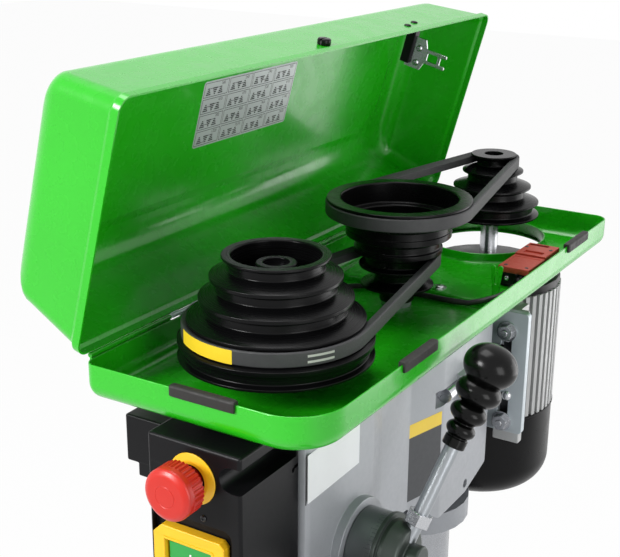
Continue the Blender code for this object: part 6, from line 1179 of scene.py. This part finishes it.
def make_estop():
    place = box_face(ESTOP_X, ESTOP_DROP)
    ring = [(0.0123, FIT, 0), (0.0205, FIT, 0.0004), (0.0205, 0.0014, 0.0006)]
    ring += [(0.0152, 0.0030, 0.0008), (0.0123, 0.0030, 0.0004)]
    turned("estop_collar", ring, place, "yellow_plastic", "stand", "estop_ring", steps=96, closed=True)
    reach, length, radius, stem, neck = 0.033, 0.022, 0.0205, 0.008, 0.0112
    back = reach - length
    face = [(0, reach + 0.0004, 0), (radius * 0.38, reach + 0.0002, 0.0004)]
    face += [(radius * 0.40, reach - 0.0003, 0.0003), (radius * 0.43, reach + 0.0001, 0.0004)]
    face += [(radius * 0.80, reach - 0.0002, 0.006), (radius, reach - 0.0030, 0.0030)]
    face += [(radius, reach - 0.0085, 0.0006), (radius - 0.0012, reach - 0.0090, 0.0003)]
    face += [(radius - 0.0012, back + 0.0025, 0.0020), (0.0140, back, 0.0015), (neck, back - 0.0020, 0.0020)]
    face += [(neck, 0.0062, 0.0005), (stem, 0.0060, 0), (stem, -0.010, 0), (0, -0.010, 0)]
    turned("estop_mushroom", face, place, "red_button", "estop", "estop_button", steps=144)
    outer, depth = radius - 0.0001, 0.0009
    teeth = toothed(36, ((0.0, outer - depth), (0.25, outer), (0.5, outer), (0.75, outer - depth)))
    low, high = back + 0.0022, reach - 0.0088
    middle = place @ shift(0, 0, (high + low) / 2)
    grip = slab("estop_teeth", teeth, high - low, middle, [circle(radius * 0.7, 64)])
    finish(bevelled(grip, 0.0002, 50), "red_button", "estop")


# The marks on the buttons: a bar, and a ring of two radii
BAR_HALVES = (0.0008, 0.0055)
RING_RADII = (0.0058, 0.0043)


def make_buttons():
    low, high = -FRAME_DROP[1], -FRAME_DROP[0]
    left, right = FRAME_X
    floor = -BOX_FRONT + RECESS_DEPTH - FIT
    proud = -BOX_FRONT - FRAME_PROUD
    soft, rim, chamfer = 0.0008, FRAME_RIM, FRAME_CHAMFER
    corners = [(left, low), (right, low), (right, high - chamfer / 2), (right - chamfer / 2, high)]
    corners += [(left + chamfer, high), (left, high - chamfer)]
    outline = rounded([(x, z, soft) for x, z in corners])
    window = rounded_box(left + rim, right - rim, low + rim, high - rim, 0.0012, 4)
    middle = facing("Y", point(0, (floor + proud) / 2, 0))
    plate = slab("button_frame", outline, floor - proud, middle, [window], 0.0011, 4)
    finish(plate, "yellow_plastic", "stand", "switch_frame")
    rim -= 0.002
    outline = rounded_box(left + rim, right - rim, low + rim, high - rim, 0.002, 4)
    front = facing("Y", point(0, proud - 0.0002, 0))
    finish(slab("button_frame_lip", outline, 0.0008, front, [window], 0.0003, 2), "yellow_plastic", "stand")
    for body, look in (("start", "green_button"), ("stop", "red_button")):
        node = body + "_button"
        first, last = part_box(node)
        finish(block(node + "_cap", first, last, 0.0014, 4), look, body, node)
        middle = (first + last) / 2
        mark = bmesh.new()
        if body == "start":
            x, y = BAR_HALVES
            patch(mark, -x, -y, x, y)
        else:
            outer, inner = (arc((0, 0), radius, 0, TURN, 40) for radius in RING_RADII)
            for corners in zip(outer, outer[1:], inner[1:], inner):
                mark.faces.new([mark.verts.new((x, y, 0)) for x, y in corners])
        place = facing("Y", (middle.x, first.y - HAIR, middle.z))
        printed(node + "_mark", "mark_white", body, mark, place)


# The interlock switch beside the motor
SWITCH_X = (0.0655, 0.0975)
SWITCH_Y = (0.2885, 0.3300, 0.3700)
SWITCH_STEP = 0.0022
GLAND_AT = (0.0885, 0.0158)
GLAND = (
    (0.0028, -0.002, 0), (0.0066, -0.002, 0), (0.0066, 0.0030, 0.0004), (0.0055, 0.0034, 0.0003),
    (0.0055, 0.0080, 0.0016), (0.0028, 0.0090, 0),
)


def make_switch():
    left, right = SWITCH_X
    front, split, back = SWITCH_Y
    floor, top = (corner.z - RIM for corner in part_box("interlock_switch_head"))

    def room(x0, x1, y0, y1, low, high=top + 0.01):
        return block("room", point(x0, y0, low), point(x1, y1, high), 0)

    head = block("interlock_head", point(left, split, floor), point(right, back, top), 0.0012, 3)
    cap = block("cap", point(left, front, top - 0.0080), point(right, split + 0.001, top - 0.0016), 0.0010, 3)
    slot_x = HINGE.x + KEY_U
    head = cut(
        join(head, cap),
        room(slot_x - 0.0095, slot_x + 0.0110, KEY_Y - 0.0026, KEY_Y + 0.0026, floor + 0.0010),
        room(left + 0.006, right - 0.006, split + 0.0060, split + 0.0140, top - 0.0018),
        room(right - 0.002, right + 0.01, split + 0.009, split + 0.016, top - 0.0150, top - 0.0050),
        room(left - 0.01, right + 0.01, split - 0.0006, split + 0.0008, top - 0.0026),
        room(left + 0.0030, right - 0.0030, front + 0.0040, split - 0.0050, top - SWITCH_STEP),
    )
    head = applied(bevelled(head, 0.0004, 45))
    finish(head, "switch_red", "stand", "interlock_switch_head")
    for row, (inset, y, drop) in enumerate(((0.0055, front + 0.0065, SWITCH_STEP), (0.0034, KEY_Y - 0.0105, 0))):
        for column, x in enumerate((left + inset, right - inset)):
            place = Matrix.Translation(point(x, y, top - drop))
            screw(f"switch_screw_{2 * row + column}", place, 0.0019, 0.0006, "dark_screw_and_painted_shadow", "stand")
    low = (left + SHEET - 0.0005, SPINDLE_Y + front + 0.003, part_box("interlock_switch_body")[0].z)
    high = (right - SHEET, SPINDLE_Y + split - FIT, RIM + top - 0.0083)
    body = block("interlock_body", low, high, 0.0016, 4)
    finish(body, "box_plastic", "stand", "interlock_switch_body")
    x, drop = GLAND_AT
    start = front + 0.003
    place = along(TO_FRONT, point(x, start, -drop))
    turned("switch_gland", GLAND, place, "box_plastic", "stand", steps=40, soft=3, closed=True)
    place = along(TO_FRONT, point(x - 0.0145, start, -drop + 0.001))
    screw("switch_body_screw", place, 0.0026, 0.0014, "bright_steel", "stand")


# Blank plates on the head's right side
HEAD_SIDE = 0.0520
PLATE_Y = (-0.036, 0.045)
PLATE_UP = (-0.110, -0.068)
# The dark strip in front of the data plate: a painted shadow of its edge
PLATE_SHADOW_Y = (-0.0390, -0.0380)
PANEL_FROM = (0.046, 0.150)
PANEL_TO = (0.058, 0.196)
PANEL_RUN = (-0.011, 0.045)
PANEL_UP = (-0.200, -0.121)
HEADER_SHARE = 0.17
PLATE_FILM = HAIR * 3


def make_head_plates():
    """A blank data plate with a painted shadow along its front edge, and a blank panel with a coloured header, both
    without any print.
    """
    place = facing("X", point(HEAD_SIDE, 0, 0))
    # The second slab is an ink-coloured strip, a painted shadow in front of the plate
    for name, look, run in (("data_plate", "plate_white", PLATE_Y), ("data_plate_painted_shadow", "ink", PLATE_SHADOW_Y)):
        finish(slab(name, rounded_box(*run, *PLATE_UP, 0.0006, 3), PLATE_FILM, place), look, "stand")
    run = (Vector((*PANEL_TO, 0)) - Vector((*PANEL_FROM, 0))).normalized()
    normal = Vector((run.y, -run.x, 0))
    turn = Matrix((run, (0, 0, 1), normal)).transposed().to_4x4()
    place = Matrix.Translation(point(*PANEL_FROM, 0)) @ turn
    low, high = PANEL_UP
    split = high - (high - low) * HEADER_SHARE
    for name, look, up in (("field", "panel_dark", (low, split)), ("header", "panel_yellow", (split, high))):
        outline = rounded_box(*PANEL_RUN, *up, 0.0004, 3)
        finish(slab("panel_" + name, outline, PLATE_FILM, place), look, "stand")


# The motor: places behind the spindle's axis, heights from the rim
MOTOR_SHELL = 0.0800
MOTOR_TOP = -0.062
MOTOR_SPLIT = -0.2000
MOTOR_BOTTOM = -0.300
MOTOR_FINS = 56
FIN_DEPTH = 0.0060
FIN_SHARE = 0.56
FOOT_X = (0.050, 0.079)
FOOT_UP = (-0.2125, -0.066)
FOOT_THICKNESS = 0.010
WEB_LOW = -0.176
WEB_INSET, WEB_DEPTH = 0.009, 0.030
COVER_RADIUS = 0.0797
COVER_WALL = 0.0014
COVER_ROUNDING = 0.034
COVER_LIP = 0.0009
VENTS = 6
VENT_WIDTH = 0.007
VENT_RADII = (0.018, 0.040)


def make_motor():
    root, valley = MOTOR_SHELL - FIN_DEPTH, 1 - FIN_SHARE
    fins = toothed(MOTOR_FINS, ((0.0, root), (valley * 0.8, root), (valley, MOTOR_SHELL), (0.96, MOTOR_SHELL)))
    centre = shift(0, MOTOR_Y, RIM)
    middle = centre @ shift(0, 0, (MOTOR_TOP + MOTOR_SPLIT) / 2)
    shell = slab("shell", fins, MOTOR_TOP - MOTOR_SPLIT, middle)
    front, half = MOTOR_Y - MOTOR_SHELL, FOOT_X[1] - WEB_INSET
    low, high = (RIM + up for up in FOOT_UP)
    web = block("web", (-half, front + FIT, RIM + WEB_LOW), (half, front + WEB_DEPTH, high), 0.001, 2)
    feet = [
        block("foot", (left, front, low), (right, front + FOOT_THICKNESS, high), 0.0015, 3)
        for left, right in (FOOT_X, (-FOOT_X[1], -FOOT_X[0]))
    ]
    finish(join(shell, web, *feet), "aluminium_frame", "motor", "motor_body")

    low, high, lip = MOTOR_BOTTOM, MOTOR_SPLIT, COVER_RADIUS + COVER_LIP
    bowl = (COVER_RADIUS - COVER_ROUNDING, low + COVER_ROUNDING)
    profile = [(0, low)] + arc(bowl, COVER_ROUNDING, -QUARTER, 0, 14)
    profile += [(COVER_RADIUS, high - 0.003), (lip, high - 0.0022), (lip, high), (COVER_RADIUS - COVER_WALL, high)]
    profile += arc(bowl, COVER_ROUNDING - COVER_WALL, 0, -QUARTER, 14) + [(0, low + COVER_WALL)]
    cover = lathe("fan_cover", profile, centre, 128)
    near, far = VENT_RADII
    slot = arc((far, 0), VENT_WIDTH / 2, -QUARTER, QUARTER, 8)
    slot += arc((near, 0), VENT_WIDTH / 2, QUARTER, 3 * QUARTER, 8)
    turns = [Matrix.Rotation(TURN * number / VENTS, 4, "Z") for number in range(VENTS)]
    vents = [slab("vent", slot, 0.02, centre @ turn @ shift(0, 0, low)) for turn in turns]
    finish(bevelled(cut(cover, *vents), 0.0004, 50), "black_paint", "motor", "motor_fan_cover")


# The plate that carries the motor, with its slots, nuts and screw
PLATE_HALF = 0.0845
PLATE_BACK = 0.084
PLATE_THICKNESS = 0.008
PLATE_ENDS = (-0.1975, -0.064)
PLATE_CORNER = 0.004
STUD_X = 0.0625
STUD_DROPS = (0.086, 0.186)
STUD_RADIUS, STUD_PROUD = 0.0034, 0.0012
STUD_SLOT = (0.0055, 0.015)
NUT_SIZE = (0.0084, 0.0062)
NUT_BORE = 0.0036
NUT_WASHER = (0.0108, 0.0016)
NUT_TWIST = math.radians(17)
DOME_AT = (0.0660, 0.157)


def make_motor_plate():
    front = PLATE_BACK - PLATE_THICKNESS
    middle = facing("Y", point(0, (front + PLATE_BACK) / 2 - SPINDLE_Y, 0))
    radius, run = STUD_SLOT
    holes = [
        obround((side * STUD_X, toward * (run - radius / 2) - drop), run, radius, 12)
        for side in (-1, 1)
        for drop, toward in zip(STUD_DROPS, (-1, 1))
    ]
    low, high = PLATE_ENDS
    outline = rounded_box(-PLATE_HALF, PLATE_HALF, low, high, PLATE_CORNER, 6)
    sheet = slab("motor_plate_sheet", outline, PLATE_THICKNESS, middle, holes, 0.0007)
    finish(sheet, "zinc_plate", "motor", "motor_plate")
    half = PLATE_HALF - 0.01
    # A hair-thin dark sheet on the plate's rear: a painted shadow, in the dark screw colour
    painted_shadow_outline = rounded_box(-half, half, low + 0.01, high - 0.01, 0.002, 3)
    rear = facing("Y", point(0, PLATE_BACK - SPINDLE_Y - HAIR, 0))
    finish(slab("motor_plate_shadow", painted_shadow_outline, HAIR, rear), "dark_screw_and_painted_shadow", "motor")
    steel = ("bright_steel", "motor")
    size, thickness = NUT_WASHER
    for side, word in ((-1, "left"), (1, "right")):
        for drop in STUD_DROPS:
            name = f"{word}_{round(drop * 1000)}"
            face = along(TO_FRONT, point(side * STUD_X, front - SPINDLE_Y, -drop))
            on_washer = face @ shift(0, 0, thickness)
            turned("plate_washer_" + name, pin(size, 0, thickness, FIT), face, *steel, soft=2)
            hex_nut("plate_nut_" + name, on_washer, *NUT_SIZE, *steel, NUT_BORE, NUT_TWIST)
            stud = pin(STUD_RADIUS, 0, NUT_SIZE[1] + STUD_PROUD, 0.0006)
            turned("plate_stud_" + name, stud, on_washer, *steel, steps=32, soft=3)
    x, drop = DOME_AT
    face = along(TO_FRONT, point(x, front - SPINDLE_Y, -drop))
    dome = [(0, 0), (0.0056, 0)] + arc((0, -0.0026), 0.0062, math.radians(25), QUARTER, 8)
    finish(lathe("plate_dome_screw", dome, face, 48), *steel)


# The chuck's sleeve, knurled between two plain bands
CHUCK_TEETH = 60
CHUCK_BAND = 0.004
CHUCK_BORE = 0.0225
KNURL_DEPTH = 0.0008


def make_chuck():
    low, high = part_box("chuck_sleeve")
    radius, height = (high.x - low.x) / 2, high.z - low.z
    place = shift(0, SPINDLE_Y, low.z)
    band, bore, edge = CHUCK_BAND, CHUCK_BORE, radius - KNURL_DEPTH
    teeth = toothed(CHUCK_TEETH, ((0.0, edge), (0.35, radius), (0.65, radius)))
    middle = place @ shift(0, 0, height / 2)
    knurl = slab("chuck_knurl", teeth, height - 2 * band, middle, [circle(bore, 48)])
    finish(knurl, "bright_steel", "chuck_ring", "chuck_sleeve")
    for name, start in (("lower", 0.0), ("upper", height - band)):
        end, soft = start + band, 0.0008
        ring = ((bore, start, 0), (edge, start, soft), (edge, end, soft), (bore, end, 0))
        ring = lathe("chuck_band_" + name, rounded(ring, 3), place, 96, closed=True)
        finish(ring, "bright_steel", "chuck_ring")


# The camera, as the photograph's perspective gives it
CAMERA_AT = (0.47306, -0.71894, 0.35116)
CAMERA_YAW = math.radians(31.604)
CAMERA_PITCH = math.radians(18.98)
CAMERA_ROLL = math.radians(0.389)
CAMERA_LENS = 68.05
SENSOR = 36.0


def make_camera():
    data = bpy.data.cameras.new("camera")
    data.sensor_width = SENSOR
    data.sensor_fit = "HORIZONTAL"
    data.lens = CAMERA_LENS
    camera = linked("camera", data)
    aim = Matrix.Rotation(CAMERA_YAW, 4, "Z") @ Matrix.Rotation(QUARTER - CAMERA_PITCH, 4, "X")
    camera.matrix_world = Matrix.Translation(point(*CAMERA_AT)) @ aim @ Matrix.Rotation(CAMERA_ROLL, 4, "Z")
    bpy.context.scene.camera = camera


# The white surroundings and the lamps: name, place, size and watts
FLOOR_HALF = 9.0
FLOOR_WHITE = 0.965
AMBIENT = 0.17
LAMPS = (
    ("key", (-1.1, -2.4, 1.3), (1.0, 1.0), 96),
    ("fill", (2.3, -0.9, 0.2), (1.2, 1.6), 27),
    ("rear", (1.3, 1.9, -0.35), (1.5, 1.5), 14),
    ("top", (-0.4, 0.3, 2.4), (1.4, 1.4), 34),
)


def background_rays(tree):
    """One for the rays that see the background, straight on, in a gloss or through glass, and zero for light."""
    path = new_node(tree, "LightPath").outputs
    either = path["Is Camera Ray"]
    for kind in ("Is Glossy Ray", "Is Transmission Ray"):
        either = new_node(tree, "Math", {0: either, 1: path[kind]}, operation="MAXIMUM").outputs[0]
    return either


def make_stage():
    bm = bmesh.new()
    bmesh.ops.create_grid(bm, x_segments=1, y_segments=1, size=FLOOR_HALF)
    floor = solid("floor", bm)
    made = bpy.data.materials.new("floor")
    made.use_nodes = True
    tree = made.node_tree
    matt = {"Base Color": (0.88, 0.88, 0.88, 1), "Roughness": 0.9, "Specular IOR Level": 0.1}
    shader = wire(tree, tree.nodes["Principled BSDF"], matt)
    white = new_node(tree, "Emission", {"Strength": 1.0})
    share = new_node(tree, "Math", operation="MULTIPLY")
    wire(tree, share, {0: background_rays(tree), 1: FLOOR_WHITE})
    mix = new_node(tree, "MixShader", {"Fac": share.outputs[0], 1: shader.outputs[0], 2: white.outputs[0]})
    wire(tree, tree.nodes["Material Output"], {"Surface": mix.outputs[0]})
    floor.data.materials.append(made)


def make_lights():
    world = bpy.data.worlds.new("studio")
    bpy.context.scene.world = world
    world.use_nodes = True
    tree = world.node_tree
    inputs = {"To Min": AMBIENT, "To Max": 1.0, "Value": background_rays(tree)}
    ambient = new_node(tree, "MapRange", inputs).outputs["Result"]
    wire(tree, tree.nodes["Background"], {"Color": (1, 1, 1, 1), "Strength": ambient})
    target = point(0, 0.10, 0.0)
    for name, at, size, power in LAMPS:
        data = bpy.data.lights.new(name, "AREA")
        data.shape = "RECTANGLE"
        data.size, data.size_y = size
        data.energy = power
        linked(name, data).matrix_world = along(point(*at) - target, point(*at))
    bpy.context.scene.view_settings.view_transform = "Standard"


def main():
    make_looks()
    dress_nodes()
    make_pulleys()
    make_belts()
    make_lid()
    make_chart()
    make_lid_fittings()
    make_key()
    make_tray()
    make_riser()
    make_bumpers()
    make_levers()
    make_hub()
    make_switch_box()
    make_estop()
    make_buttons()
    make_switch()
    make_head_plates()
    make_motor()
    make_motor_plate()
    make_chuck()
    make_stage()
    make_lights()
    make_camera()


main()
